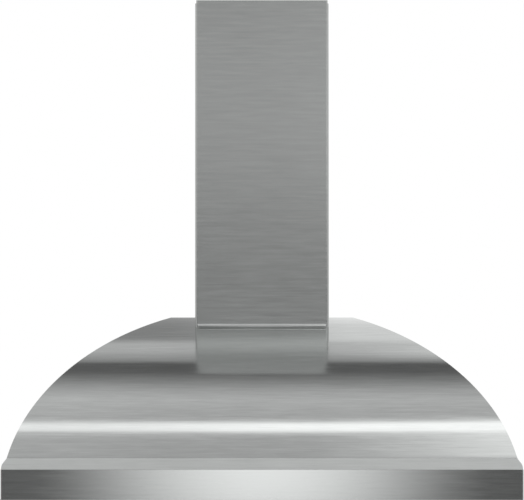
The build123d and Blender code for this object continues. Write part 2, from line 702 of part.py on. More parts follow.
with BuildPart() as switch_block:
    with BuildSketch(Plane.XY.offset(up(SWITCH_BOTTOM))):
        with Locations((0, CONTROL_Y)):
            RectangleRounded(SWITCH_LENGTH, SWITCH_WIDTH, SWITCH_CORNER_R)
    extrude(amount=SWITCH_TOP - SWITCH_BOTTOM)
    with BuildSketch(Plane.XY.offset(up(RAIL_TOP))):
        with Locations((0, CONTROL_Y)):
            with GridLocations(SWITCH_LENGTH - SWITCH_LEG, 0, 2, 1):
                Rectangle(SWITCH_LEG, SWITCH_WIDTH - SWITCH_LEG / 2)
    extrude(amount=SWITCH_BOTTOM - RAIL_TOP)
    with BuildSketch(Plane.XY.offset(up(SWITCH_BOTTOM))):
        with Locations(*[(x, CONTROL_Y) for x in button_xs]):
            Circle(STEM_R + STEM_PLAY)
    extrude(amount=STEM_BORE_DEEP, mode=Mode.SUBTRACT)
switch_block.part.label = "switch_block"
export_step(switch_block.part, "parts/switch_block.step")

# Electrical boxes on the back panel
JUNCTION_WIDTH = 100.0
JUNCTION_TALL = 76.0
JUNCTION_DEEP = 48.0
COVER_LAP = 2.0
COVER_CORNER_R = 3.0
panel_face = Plane.XZ.offset(BACK_SHEET)

with BuildPart() as junction_box:
    with BuildSketch(panel_face):
        with Locations((BOX_X, up(BOX_HEIGHT))):
            Rectangle(JUNCTION_WIDTH, JUNCTION_TALL)
    extrude(amount=JUNCTION_DEEP)
    offset(amount=-SHEET, openings=junction_box.faces().sort_by(Axis.Y)[0])
    with BuildSketch(panel_face):
        with Locations((BOX_X, up(BOX_HEIGHT))):
            Circle(CONDUIT_R)
    extrude(amount=SHEET, mode=Mode.SUBTRACT)
junction_box.part.label = "junction_box"
export_step(junction_box.part, "parts/junction_box.step")

with BuildPart() as junction_box_cover:
    with BuildSketch(Plane.XZ.offset(BACK_SHEET + JUNCTION_DEEP)):
        with Locations((BOX_X, up(BOX_HEIGHT))):
            RectangleRounded(
                JUNCTION_WIDTH + 2 * COVER_LAP, JUNCTION_TALL + 2 * COVER_LAP, COVER_CORNER_R
            )
    extrude(amount=SHEET)
junction_box_cover.part.label = "junction_box_cover"
export_step(junction_box_cover.part, "parts/junction_box_cover.step")

CAPACITOR_R = 20.0
CAPACITOR_BOTTOM = 205.0
CAPACITOR_TALL = 78.0
CAPACITOR_EDGE_R = 2.0
STRAP_TALL = 16.0
STRAP_BOTTOM = 236.0
STRAP_EARS = 36.0
capacitor_y = -(BACK_SHEET + SHEET + CAPACITOR_R)

with BuildPart() as capacitor:
    with BuildSketch(Plane.XY.offset(up(CAPACITOR_BOTTOM))):
        with Locations((-BOX_X, capacitor_y)):
            Circle(CAPACITOR_R)
    extrude(amount=CAPACITOR_TALL)
    fillet(capacitor.edges().filter_by(GeomType.CIRCLE), CAPACITOR_EDGE_R)
capacitor.part.label = "capacitor"
export_step(capacitor.part, "parts/capacitor.step")

with BuildPart() as capacitor_strap:
    with BuildSketch(Plane.XY.offset(up(STRAP_BOTTOM))):
        with Locations((-BOX_X, capacitor_y)):
            Circle(CAPACITOR_R + FIT_GAP + SHEET)
        with Locations((-BOX_X, -BACK_SHEET)):
            Rectangle(2 * CAPACITOR_R + STRAP_EARS, SHEET, align=(Align.CENTER, Align.MAX))
        with Locations((-BOX_X, capacitor_y)):
            Circle(CAPACITOR_R + FIT_GAP, mode=Mode.SUBTRACT)
        with Locations((-BOX_X, -BACK_SHEET)):
            Rectangle(WIDTH, CAPACITOR_R, align=(Align.CENTER, Align.MIN), mode=Mode.SUBTRACT)
    extrude(amount=STRAP_TALL)
capacitor_strap.part.label = "capacitor_strap"
export_step(capacitor_strap.part, "parts/capacitor_strap.step")

TRANSFORMER_LENGTH = 110.0
TRANSFORMER_TALL = 46.0
TRANSFORMER_DEEP = 32.0
TRANSFORMER_HEIGHT = 160.0
TRANSFORMER_CORNER_R = 4.0

with BuildPart() as lamp_transformer:
    with BuildSketch(panel_face):
        with Locations((-BOX_X, up(TRANSFORMER_HEIGHT))):
            RectangleRounded(TRANSFORMER_LENGTH, TRANSFORMER_TALL, TRANSFORMER_CORNER_R)
    extrude(amount=TRANSFORMER_DEEP)
lamp_transformer.part.label = "lamp_transformer"
export_step(lamp_transformer.part, "parts/lamp_transformer.step")

# Blower
# A double inlet centrifugal fan whose axle lies along X. The scroll opens by three quarter arcs,
# each one step larger than the last, from the cutoff at its top round the front to the rear wall.
FAN_HEIGHT = 222.0
FAN_Y = DUCT_Y - OUTLET_DEPTH / 2 + SCROLL_STEP / 2
SCROLL_TOP = DECK_HEIGHT - SHEET
CUTOFF_R = 8.0
IMPELLER_R = 90.0
IMPELLER_INNER_R = 74.0
IMPELLER_HALF_LENGTH = 80.0
INLET_R = 78.0
MOTOR_R = 46.0
SHAFT_R = 5.0
fan_origin = Vector(FAN_Y, up(FAN_HEIGHT))


def scroll_outline(grow, top):
    """The scroll's section, y across and z up, `grow` outside its inner face, cut off at `top`."""
    half = SCROLL_STEP / 2
    first = SCROLL_FIRST_R + grow
    second = first + SCROLL_STEP
    third = second + SCROLL_STEP
    centre_front = fan_origin + Vector(-half, -half)
    centre_bottom = fan_origin + Vector(half, -half)
    centre_rear = fan_origin + Vector(half, half)
    cutoff = centre_front + Vector(-grow, sqrt(first**2 - grow**2))
    front_mid = centre_front + Vector(-first * sin(pi / 4), first * cos(pi / 4))
    front = centre_front + Vector(-first, 0)
    bottom_mid = centre_bottom + Vector(-second * sin(pi / 4), -second * cos(pi / 4))
    bottom = centre_bottom + Vector(0, -second)
    rear_mid = centre_rear + Vector(third * sin(pi / 4), -third * cos(pi / 4))
    rear = centre_rear + Vector(third, 0)
    with BuildSketch() as outline:
        with BuildLine():
            Line((cutoff.X, up(top)), cutoff)
            ThreePointArc(cutoff, front_mid, front)
            ThreePointArc(front, bottom_mid, bottom)
            ThreePointArc(bottom, rear_mid, rear)
            Line(rear, (rear.X, up(top)))
            Line((rear.X, up(top)), (cutoff.X, up(top)))
        make_face()
        tongue = outline.vertices().sort_by_distance((cutoff.X, cutoff.Y, 0))[0]
        fillet(tongue, CUTOFF_R - grow)
    return outline.sketch


SCROLL_OVERRUN = 20.0
scroll_inner = scroll_outline(0, DECK_HEIGHT + SCROLL_OVERRUN)
scroll_outer = scroll_outline(THIN_SHEET, SCROLL_TOP)

with BuildPart() as blower_scroll:
    with BuildSketch(Plane.YZ.offset(-SCROLL_HALF_WIDTH)):
        add(scroll_outer)
        add(scroll_inner, mode=Mode.SUBTRACT)
    extrude(amount=2 * SCROLL_HALF_WIDTH)
    for sign in (-1, 1):
        with BuildSketch(Plane.XY.offset(up(SCROLL_TOP - SHEET))):
            with Locations((0, DUCT_Y + sign * (OUTLET_DEPTH / 2 + FLANGE / 2))):
                Rectangle(2 * SCROLL_HALF_WIDTH, FLANGE)
            with Locations(*outlet_screw_places()):
                Circle(SCREW_HOLE_R, mode=Mode.SUBTRACT)
        extrude(amount=SHEET)
blower_scroll.part.label = "blower_scroll"
export_step(blower_scroll.part, "parts/blower_scroll.step")

BELLMOUTH_R = 12.0

for side_name, side in (("left", -1), ("right", 1)):
    with BuildPart() as blower_side:
        with BuildSketch(Plane.YZ.offset(side * SCROLL_HALF_WIDTH)):
            add(scroll_outer)
            with Locations(fan_origin):
                Circle(INLET_R, mode=Mode.SUBTRACT)
        extrude(amount=side * SHEET)
        # The inlet's rim rolls outward as a bellmouth.
        face_x = side * SCROLL_HALF_WIDTH
        with BuildSketch(Plane.XY.offset(up(FAN_HEIGHT))):
            with Locations((face_x, FAN_Y + INLET_R + BELLMOUTH_R)):
                Circle(BELLMOUTH_R)
                Circle(BELLMOUTH_R - SHEET, mode=Mode.SUBTRACT)
                quarter = (Align.MIN if side > 0 else Align.MAX, Align.MAX)
                Rectangle(BELLMOUTH_R, BELLMOUTH_R, align=quarter, mode=Mode.INTERSECT)
        revolve(axis=Axis((0, FAN_Y, up(FAN_HEIGHT)), (1, 0, 0)))
        with BuildSketch(Plane.XY.offset(up(SCROLL_TOP - SHEET))):
            with Locations((side * (SCROLL_HALF_WIDTH + FLANGE / 2), DUCT_Y)):
                Rectangle(FLANGE, OUTLET_DEPTH)
            with Locations(*outlet_screw_places()):
                Circle(SCREW_HOLE_R, mode=Mode.SUBTRACT)
        extrude(amount=SHEET)
    blower_side.part.label = f"blower_{side_name}_side"
    export_step(blower_side.part, f"parts/blower_{side_name}_side.step")

# Impeller: a centre disc, a ring at each end and forward-curved blades the whole length
BLADES = 32
BLADE_SHEET = 1.2
BLADE_TIP_R = 89.4
BLADE_LEAN = 9.0
BLADE_BELLY = 2.2
DISC_SHEET = 1.5
RING_WIDTH = 4.0
RING_DEEP = 5.0
HUB_R = 14.0
HUB_HALF = 10.0


def blade_outline():
    """One forward-curved blade's section, at its place beside the axle."""
    middle_r = (IMPELLER_INNER_R + BLADE_TIP_R) / 2
    with BuildSketch() as outline:
        with BuildLine():
            belly = ThreePointArc(
                (IMPELLER_INNER_R, 0),
                (middle_r, BLADE_BELLY),
                (BLADE_TIP_R, BLADE_LEAN),
            )
            back = ThreePointArc(
                (BLADE_TIP_R, BLADE_LEAN + 1.5 * BLADE_SHEET),
                (middle_r, BLADE_BELLY + BLADE_SHEET),
                (IMPELLER_INNER_R, BLADE_SHEET),
            )
            Line(belly @ 1, back @ 0)
            Line(back @ 1, belly @ 0)
        make_face()
    return outline.sketch


blade_section = blade_outline()

with BuildPart() as impeller:
    with BuildSketch(Plane.YZ.offset(-DISC_SHEET / 2)):
        with Locations(fan_origin):
            Circle(IMPELLER_R)
    extrude(amount=DISC_SHEET)
    with BuildSketch(Plane.YZ.offset(-HUB_HALF)):
        with Locations(fan_origin):
            Circle(HUB_R)
    extrude(amount=2 * HUB_HALF)
    for ring_x in (-IMPELLER_HALF_LENGTH, IMPELLER_HALF_LENGTH - RING_WIDTH):
        with BuildSketch(Plane.YZ.offset(ring_x)):
            with Locations(fan_origin):
                Circle(IMPELLER_R)
                Circle(IMPELLER_R - RING_DEEP, mode=Mode.SUBTRACT)
        extrude(amount=RING_WIDTH)
    with BuildSketch(Plane.YZ.offset(-IMPELLER_HALF_LENGTH)):
        with Locations(fan_origin):
            with PolarLocations(0, BLADES):
                add(blade_section)
    extrude(amount=2 * IMPELLER_HALF_LENGTH)
    with BuildSketch(Plane.YZ.offset(-HUB_HALF)):
        with Locations(fan_origin):
            Circle(SHAFT_R)
    extrude(amount=2 * HUB_HALF, mode=Mode.SUBTRACT)
impeller.part.label = "impeller"
export_step(impeller.part, "parts/impeller.step")

MOTOR_START = 14.0
MOTOR_END = 74.0
MOTOR_EDGE_R = 5.0
END_CAP = 6.0
SHAFT_END_PLAY = 2.0
BEARING_END = MOTOR_END - END_CAP
SHAFT_END = BEARING_END - SHAFT_END_PLAY

with BuildPart() as motor_shaft:
    with BuildSketch(Plane.YZ.offset(-HUB_HALF)):
        with Locations(fan_origin):
            Circle(SHAFT_R)
    extrude(amount=HUB_HALF + SHAFT_END)
motor_shaft.part.label = "motor_shaft"
export_step(motor_shaft.part, "parts/motor_shaft.step")

with BuildPart() as fan_motor:
    with BuildSketch(Plane.YZ.offset(MOTOR_START)):
        with Locations(fan_origin):
            Circle(MOTOR_R)
    extrude(amount=MOTOR_END - MOTOR_START)
    fillet(fan_motor.edges().filter_by(GeomType.CIRCLE), MOTOR_EDGE_R)
    with BuildSketch(Plane.YZ.offset(MOTOR_START)):
        with Locations(fan_origin):
            Circle(SHAFT_R + FIT_GAP)
    extrude(amount=BEARING_END - MOTOR_START, mode=Mode.SUBTRACT)
fan_motor.part.label = "fan_motor"
export_step(fan_motor.part, "parts/fan_motor.step")

# A three-armed spider holds the motor in the right inlet, over the bellmouth's rim.
SPIDER_SHEET = 2.0
SPIDER_HUB_R = 30.0
SPIDER_ARM_WIDTH = 14.0
SPIDER_STANDOFF = 16.0
SPIDER_FOOT_LENGTH = 10.0
SPIDER_INSET = 8.0
SPIDER_BEND_R = INLET_R - SPIDER_INSET
SPIDER_FOOT_R = 102.0
spider_side = SCROLL_HALF_WIDTH + SHEET


def spider_arms(x, inner_r, length, thickness):
    """Three equal bars about the axle, from `inner_r` outward, `thickness` along X from `x`."""
    with BuildPart() as arms:
        with BuildSketch(Plane.YZ.offset(x)):
            with Locations(fan_origin):
                with PolarLocations(inner_r, 3, 90):
                    Rectangle(length, SPIDER_ARM_WIDTH, align=(Align.MIN, Align.CENTER))
        extrude(amount=thickness)
    return arms.part


bridge_x = spider_side + SPIDER_STANDOFF - SPIDER_SHEET
bridge_length = SPIDER_FOOT_R + SPIDER_SHEET - SPIDER_BEND_R

with BuildPart() as motor_bracket:
    with BuildSketch(Plane.YZ.offset(MOTOR_END)):
        with Locations(fan_origin):
            Circle(SPIDER_HUB_R)
    extrude(amount=SPIDER_SHEET)
    add(spider_arms(MOTOR_END, 0, SPIDER_BEND_R + SPIDER_SHEET, SPIDER_SHEET))
    add(spider_arms(MOTOR_END, SPIDER_BEND_R, SPIDER_SHEET, bridge_x + SPIDER_SHEET - MOTOR_END))
    add(spider_arms(bridge_x, SPIDER_BEND_R, bridge_length, SPIDER_SHEET))
    add(spider_arms(spider_side, SPIDER_FOOT_R, SPIDER_SHEET, SPIDER_STANDOFF))
    add(spider_arms(spider_side, SPIDER_FOOT_R, SPIDER_FOOT_LENGTH, SPIDER_SHEET))
motor_bracket.part.label = "motor_bracket"
export_step(motor_bracket.part, "parts/motor_bracket.step")

# Duct collar: a square-to-round transition over the deck, an 8 in collar and two damper flaps
COLLAR_R = 101.6
COLLAR_SHEET = 0.8
TRANSITION_TOP = 418.0
COLLAR_TOP = 490.0
DAMPER_HEIGHT = 446.0
STOP_RING_R = 97.5
PIN_R = 2.0
FLAP_SHEET = 0.8
FLAP_R = 99.6
KNUCKLE_R = 3.4
KNUCKLE_COUNT = 4
KNUCKLE_PITCH = 24.0
KNUCKLE_LENGTH = 22.0
STOP_RING_SHEET = 1.2
STOP_RING_DROP = 2.2
STOP_RING_GAP = 16.0
COLLAR_FLANGE_R = 4.0
PIN_FIT = 0.05
KNUCKLE_PLAY = 0.6
FLAP_FIT = 0.08
FLAP_DROP = 0.6
TONGUE_DROP = 0.2
TONGUE_REACH = 1.0


def transition_solid(inset):
    """A loft from the outlet's rectangle on the deck to the round collar."""
    with BuildPart() as transition:
        with BuildSketch(Plane.XY.offset(up(DECK_HEIGHT))):
            with Locations((0, DUCT_Y)):
                Rectangle(2 * (SCROLL_HALF_WIDTH - inset), OUTLET_DEPTH - 2 * inset)
        with BuildSketch(Plane.XY.offset(up(TRANSITION_TOP))):
            with Locations((0, DUCT_Y)):
                Circle(COLLAR_R - inset)
        loft()
    return transition.part


transition_outer = transition_solid(0)
transition_inner = transition_solid(COLLAR_SHEET)

with BuildPart() as duct_collar:
    with BuildSketch(Plane.XY.offset(up(DECK_HEIGHT))):
        with Locations((0, DUCT_Y)):
            RectangleRounded(
                2 * (SCROLL_HALF_WIDTH + FLANGE), OUTLET_DEPTH + 2 * FLANGE, COLLAR_FLANGE_R
            )
        with Locations(*outlet_screw_places()):
            Circle(SCREW_HOLE_R, mode=Mode.SUBTRACT)
    extrude(amount=COLLAR_SHEET)
    add(transition_outer)
    with BuildSketch(Plane.XY.offset(up(TRANSITION_TOP))):
        with Locations((0, DUCT_Y)):
            Circle(COLLAR_R)
    extrude(amount=COLLAR_TOP - TRANSITION_TOP)
    add(transition_inner, mode=Mode.SUBTRACT)
    with BuildSketch(Plane.XY.offset(up(TRANSITION_TOP))):
        with Locations((0, DUCT_Y)):
            Circle(COLLAR_R - COLLAR_SHEET)
    extrude(amount=COLLAR_TOP - TRANSITION_TOP, mode=Mode.SUBTRACT)
    # The flaps rest on this ring, with gaps for the pin's bosses.
    with BuildSketch(Plane.XY.offset(up(DAMPER_HEIGHT - STOP_RING_DROP))):
        with Locations((0, DUCT_Y)):
            Circle(COLLAR_R - COLLAR_SHEET)
            Circle(STOP_RING_R, mode=Mode.SUBTRACT)
            Rectangle(3 * COLLAR_R, STOP_RING_GAP, mode=Mode.SUBTRACT)
    extrude(amount=STOP_RING_SHEET)
    with BuildSketch(Plane.YZ.offset(-COLLAR_R - 1)):
        with Locations((DUCT_Y, up(DAMPER_HEIGHT))):
            Circle(PIN_R + PIN_FIT)
    extrude(amount=2 * COLLAR_R + 2, mode=Mode.SUBTRACT)
duct_collar.part.label = "duct_collar"
export_step(duct_collar.part, "parts/duct_collar.step")

with BuildPart() as damper_pin:
    with BuildSketch(Plane.YZ.offset(-COLLAR_R)):
        with Locations((DUCT_Y, up(DAMPER_HEIGHT))):
            Circle(PIN_R)
    extrude(amount=2 * COLLAR_R)
damper_pin.part.label = "damper_pin"
export_step(damper_pin.part, "parts/damper_pin.step")

for flap_name, flap_side, phase in (("front", -1, 0), ("rear", 1, 1)):
    with BuildPart() as damper_flap:
        with BuildSketch(Plane.XY.offset(up(DAMPER_HEIGHT - FLAP_DROP))):
            with Locations((0, DUCT_Y)):
                Circle(FLAP_R)
                Rectangle(3 * FLAP_R, 2 * (KNUCKLE_R + KNUCKLE_PLAY), mode=Mode.SUBTRACT)
            with Locations((0, DUCT_Y - flap_side * FLAP_R)):
                Rectangle(3 * FLAP_R, 2 * FLAP_R, mode=Mode.SUBTRACT)
        extrude(amount=FLAP_SHEET)
        # Knuckles on the pin alternate with the other flap's, each with a tongue into its plate.
        for index in range(2 * KNUCKLE_COUNT):
            if index % 2 == phase:
                centre_x = (index - KNUCKLE_COUNT + 0.5) * KNUCKLE_PITCH
                with BuildSketch(Plane.YZ.offset(centre_x - KNUCKLE_LENGTH / 2)):
                    with Locations((DUCT_Y, up(DAMPER_HEIGHT))):
                        Circle(KNUCKLE_R)
                    with Locations((DUCT_Y + flap_side * KNUCKLE_R, up(DAMPER_HEIGHT - TONGUE_DROP))):
                        Rectangle(2 * (KNUCKLE_R + TONGUE_REACH), FLAP_SHEET)
                    with Locations((DUCT_Y, up(DAMPER_HEIGHT))):
                        Circle(PIN_R + FLAP_FIT, mode=Mode.SUBTRACT)
                extrude(amount=KNUCKLE_LENGTH)
    damper_flap.part.label = f"{flap_name}_damper_flap"
    export_step(damper_flap.part, f"parts/{flap_name}_damper_flap.step")

# Screws that hang the blower and hold the collar: pan heads above, nuts below
SCREW_HEAD_R = 4.4
SCREW_HEAD_TALL = 2.6
SCREW_LENGTH = 12.0
NUT_R = 4.6
NUT_TALL = 4.0

with BuildPart() as outlet_screws:
    with BuildSketch(Plane.XY.offset(up(DECK_HEIGHT + COLLAR_SHEET))):
        with Locations(*outlet_screw_places()):
            Circle(SCREW_HEAD_R)
    extrude(amount=SCREW_HEAD_TALL)
    with BuildSketch(Plane.XY.offset(up(DECK_HEIGHT + COLLAR_SHEET))):
        with Locations(*outlet_screw_places()):
            Circle(SCREW_R)
    extrude(amount=-SCREW_LENGTH)
    with BuildSketch(Plane.XY.offset(up(SCROLL_TOP - SHEET))):
        with Locations(*outlet_screw_places()):
            RegularPolygon(NUT_R, 6)
    extrude(amount=-NUT_TALL)
outlet_screws.part.label = "outlet_screws"
export_step(outlet_screws.part, "parts/outlet_screws.step")

# Chimney
# Both covers are folded from one sheet: a front, two sides and a narrow return along the wall.
COVER_BOTTOM = 340.0
COVER_RETURN = 20.0
HEM_TALL = 6.5
NEST_GAP = 0.8
UPPER_BOTTOM = 424.0
LOWER_TOP = TOP_HEIGHT - UPPER_REVEAL


def cover_plan(inset, sheet, bend):
    """The folded cover's section, standing `inset` inside the lower cover's faces."""
    width = CHIMNEY_WIDTH - 2 * inset
    back = -inset
    front = -CHIMNEY_DEPTH + inset
    with BuildSketch() as plan:
        with Locations((0, back)):
            Rectangle(width, back - front, align=(Align.CENTER, Align.MAX))
        fillet(plan.vertices().group_by(Axis.Y)[0], bend)
        with BuildSketch(mode=Mode.PRIVATE) as hollow:
            with Locations((0, back - sheet)):
                Rectangle(width - 2 * sheet, back - front - 2 * sheet, align=(Align.CENTER, Align.MAX))
            fillet(hollow.vertices().group_by(Axis.Y)[0], bend - sheet)
        add(hollow.sketch, mode=Mode.SUBTRACT)
        with Locations((0, back)):
            Rectangle(width - 2 * COVER_RETURN, 2 * sheet, mode=Mode.SUBTRACT)
    return plan.sketch


lower_plan = cover_plan(0, SHEET, BEND_R)
upper_plan = cover_plan(SHEET + NEST_GAP, THIN_SHEET, BEND_R - SHEET)

# The lower cover is scribed to the vault, and its front edge is hemmed.
HEM_PROUD = 1.1
HEM_CHAMFER = 1.2
HEM_ROOT = 0.1
HEM_START = 4.0
CHIMNEY_SCREW_YS = (-172.0, -112.0)
CHIMNEY_SCREW_HEIGHT = 398.0
CHIMNEY_SCREW_LENGTH = 7.0
CHIMNEY_HEAD_TALL = 1.2

with BuildPart() as lower_chimney:
    with BuildSketch(Plane.XY.offset(up(COVER_BOTTOM))):
        add(lower_plan)
    extrude(amount=LOWER_TOP - COVER_BOTTOM)
    foot_height = DOME_RISE * sqrt(1 - (CHIMNEY_DEPTH / DEPTH) ** 2)
    with BuildSketch(Plane.YZ.offset(-CHIMNEY_WIDTH / 2 + BEND_R)):
        with BuildLine():
            Polyline(
                (-CHIMNEY_DEPTH + HEM_ROOT, up(foot_height - HEM_START)),
                (-CHIMNEY_DEPTH + HEM_ROOT, up(foot_height + HEM_TALL + HEM_CHAMFER)),
                (-CHIMNEY_DEPTH - HEM_PROUD / 2, up(foot_height + HEM_TALL)),
                (-CHIMNEY_DEPTH - HEM_PROUD, up(foot_height + HEM_TALL - HEM_CHAMFER)),
                (-CHIMNEY_DEPTH - HEM_PROUD, up(foot_height - HEM_START)),
                close=True,
            )
        make_face()
    extrude(amount=CHIMNEY_WIDTH - 2 * BEND_R)
    add(front_outer, mode=Mode.SUBTRACT)
    with BuildSketch(Plane.YZ.offset(-CHIMNEY_WIDTH)):
        with Locations(*[(y, up(CHIMNEY_SCREW_HEIGHT)) for y in CHIMNEY_SCREW_YS]):
            Circle(SCREW_HOLE_R)
    extrude(amount=2 * CHIMNEY_WIDTH, mode=Mode.SUBTRACT)
lower_chimney.part.label = "lower_chimney"
export_step(lower_chimney.part, "parts/lower_chimney.step")

with BuildPart() as upper_chimney:
    with BuildSketch(Plane.XY.offset(up(UPPER_BOTTOM))):
        add(upper_plan)
    extrude(amount=TOP_HEIGHT - UPPER_BOTTOM)
upper_chimney.part.label = "upper_chimney"
export_step(upper_chimney.part, "parts/upper_chimney.step")

# Feet screwed to the deck hold the lower cover, and the raised upper cover stands on their tops.
FOOT_SHEET = 1.5
FOOT_LENGTH = 96.0
FOOT_FLANGE = 26.0
foot_y = sum(CHIMNEY_SCREW_YS) / 2
foot_face_x = CHIMNEY_WIDTH / 2 - SHEET

with BuildPart() as chimney_feet:
    for sign in (-1, 1):
        with BuildSketch(Plane.XY.offset(up(DECK_HEIGHT))):
            with Locations((sign * (foot_face_x - FOOT_SHEET / 2), foot_y)):
                Rectangle(FOOT_SHEET, FOOT_LENGTH)
        extrude(amount=UPPER_BOTTOM - FIT_GAP - DECK_HEIGHT)
        with BuildSketch(Plane.XY.offset(up(DECK_HEIGHT))):
            with Locations((sign * (foot_face_x - FOOT_FLANGE / 2), foot_y)):
                Rectangle(FOOT_FLANGE, FOOT_LENGTH)
        extrude(amount=FOOT_SHEET)
    with BuildSketch(Plane.YZ.offset(-CHIMNEY_WIDTH)):
        with Locations(*[(y, up(CHIMNEY_SCREW_HEIGHT)) for y in CHIMNEY_SCREW_YS]):
            Circle(SCREW_HOLE_R)
    extrude(amount=2 * CHIMNEY_WIDTH, mode=Mode.SUBTRACT)
chimney_feet.part.label = "chimney_feet"
export_step(chimney_feet.part, "parts/chimney_feet.step")

with BuildPart() as chimney_screws:
    for sign in (-1, 1):
        with BuildSketch(Plane.YZ.offset(sign * CHIMNEY_WIDTH / 2)):
            with Locations(*[(y, up(CHIMNEY_SCREW_HEIGHT)) for y in CHIMNEY_SCREW_YS]):
                Circle(SCREW_HEAD_R)
        extrude(amount=sign * CHIMNEY_HEAD_TALL)
        with BuildSketch(Plane.YZ.offset(sign * CHIMNEY_WIDTH / 2)):
            with Locations(*[(y, up(CHIMNEY_SCREW_HEIGHT)) for y in CHIMNEY_SCREW_YS]):
                Circle(SCREW_R)
        extrude(amount=-sign * CHIMNEY_SCREW_LENGTH)
chimney_screws.part.label = "chimney_screws"
export_step(chimney_screws.part, "parts/chimney_screws.step")

# The top bracket stands on the wall inside the upper cover, and its arms brace the sides.
BRACKET_HALF = 110.0
BRACKET_TALL = 36.0
BRACKET_SHEET = 1.5
BRACKET_TOP = TOP_HEIGHT - 14.0
BRACKET_ARM = 60.0
BRACKET_HOLE_R = 3.0
BRACKET_HOLE_SPACING = 200.0
ARM_FIT = 0.1
JOGGLE_RUN = 5.0
JOGGLE_LAP = 1.0
arm_x = CHIMNEY_WIDTH / 2 - SHEET - NEST_GAP - THIN_SHEET - ARM_FIT
joggle_y = -(SHEET + NEST_GAP + THIN_SHEET + FIT_GAP)

with BuildPart() as top_bracket:
    with BuildSketch(Plane.XY.offset(up(BRACKET_TOP - BRACKET_TALL))):
        Rectangle(2 * BRACKET_HALF, BRACKET_SHEET, align=(Align.CENTER, Align.MAX))
        for sign in (-1, 1):
            with BuildLine():
                Polyline(
                    (sign * BRACKET_HALF, 0),
                    (sign * (BRACKET_HALF + JOGGLE_RUN), joggle_y),
                    (sign * arm_x, joggle_y),
                    (sign * arm_x, joggle_y - BRACKET_ARM),
                    (sign * (arm_x - BRACKET_SHEET), joggle_y - BRACKET_ARM),
                    (sign * (arm_x - BRACKET_SHEET), joggle_y - BRACKET_SHEET),
                    (sign * (BRACKET_HALF + JOGGLE_RUN - JOGGLE_LAP), joggle_y - BRACKET_SHEET),
                    (sign * (BRACKET_HALF - JOGGLE_LAP), -BRACKET_SHEET),
                    (sign * (BRACKET_HALF - JOGGLE_LAP), 0),
                    close=True,
                )
            make_face()
    extrude(amount=BRACKET_TALL)
    with BuildSketch(Plane.XZ):
        with Locations((0, up(BRACKET_TOP - BRACKET_TALL / 2))):
            with GridLocations(BRACKET_HOLE_SPACING, 0, 2, 1):
                Circle(BRACKET_HOLE_R)
    extrude(amount=BRACKET_SHEET, mode=Mode.SUBTRACT)
top_bracket.part.label = "top_bracket"
export_step(top_bracket.part, "parts/top_bracket.step")
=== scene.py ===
import json
import math

import bmesh
import bpy
from mathutils import Matrix, Vector


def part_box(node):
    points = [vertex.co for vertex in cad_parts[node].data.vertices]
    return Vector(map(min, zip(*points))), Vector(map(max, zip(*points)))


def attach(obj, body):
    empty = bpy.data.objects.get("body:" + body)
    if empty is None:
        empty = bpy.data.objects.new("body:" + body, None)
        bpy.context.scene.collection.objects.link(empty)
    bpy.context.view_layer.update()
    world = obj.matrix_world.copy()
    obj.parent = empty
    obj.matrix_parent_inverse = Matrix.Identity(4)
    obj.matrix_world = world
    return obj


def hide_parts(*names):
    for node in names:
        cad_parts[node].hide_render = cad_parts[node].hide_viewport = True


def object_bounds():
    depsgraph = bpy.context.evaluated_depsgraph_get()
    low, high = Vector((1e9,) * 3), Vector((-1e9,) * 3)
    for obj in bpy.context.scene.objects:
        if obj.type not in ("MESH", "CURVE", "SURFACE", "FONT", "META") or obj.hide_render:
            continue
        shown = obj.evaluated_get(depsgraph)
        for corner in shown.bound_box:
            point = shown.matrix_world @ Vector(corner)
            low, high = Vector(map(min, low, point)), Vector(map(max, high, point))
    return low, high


# A wall mount range hood in brushed stainless steel, in a pale tent of soft light.
# Metres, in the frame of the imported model: +X to the viewer's right, the front faces -Y, +Z up.

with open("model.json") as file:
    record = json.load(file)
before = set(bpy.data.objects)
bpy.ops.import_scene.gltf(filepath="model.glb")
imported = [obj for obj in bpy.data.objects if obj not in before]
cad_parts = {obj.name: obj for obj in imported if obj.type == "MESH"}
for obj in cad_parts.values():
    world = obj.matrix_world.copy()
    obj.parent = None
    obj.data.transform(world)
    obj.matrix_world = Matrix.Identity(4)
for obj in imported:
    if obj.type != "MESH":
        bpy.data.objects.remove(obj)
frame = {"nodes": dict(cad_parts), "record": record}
cad_low, cad_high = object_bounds()
nodes = frame["nodes"]

MM = 0.001


def linear(colour, share=1):
    """An sRGB hex colour as the linear values that Blender's sockets take, times a share that
    makes it darker or lighter."""
    channels = [int(colour[start:start + 2], 16) / 255 for start in (1, 3, 5)]
    values = [c / 12.92 if c <= 0.04045 else ((c + 0.055) / 1.055) ** 2.4 for c in channels]
    return [share * value for value in values] + [1]


def add(tree, kind, inputs=None, stops=None, **settings):
    """Adds a shader node. `inputs` gives a socket a value or another node's output, by name or
    number, and `stops` are a colour ramp's places and colours."""
    made = tree.nodes.new(kind)
    for name, value in settings.items():
        setattr(made, name, value)
    for socket, value in (inputs or {}).items():
        if isinstance(value, bpy.types.NodeSocket):
            tree.links.new(value, made.inputs[socket])
        else:
            made.inputs[socket].default_value = value
    for index, (place, colour) in enumerate(stops or []):
        elements = made.color_ramp.elements
        stop = elements[index] if index < 2 else elements.new(place)
        stop.position = place
        stop.color = colour
    return made


def begin(name):
    """A new material with nothing in its tree but an output and the object's own coordinates."""
    material = bpy.data.materials.new(name)
    material.use_nodes = True
    tree = material.node_tree
    tree.nodes.clear()
    output = add(tree, "ShaderNodeOutputMaterial")
    place = add(tree, "ShaderNodeTexCoord").outputs["Object"]
    return material, tree, output, place


def stand(name, data):
    """A new object in the scene, for a mesh or a camera."""
    made = bpy.data.objects.new(name, data)
    bpy.context.scene.collection.objects.link(made)
    return made


# Camera

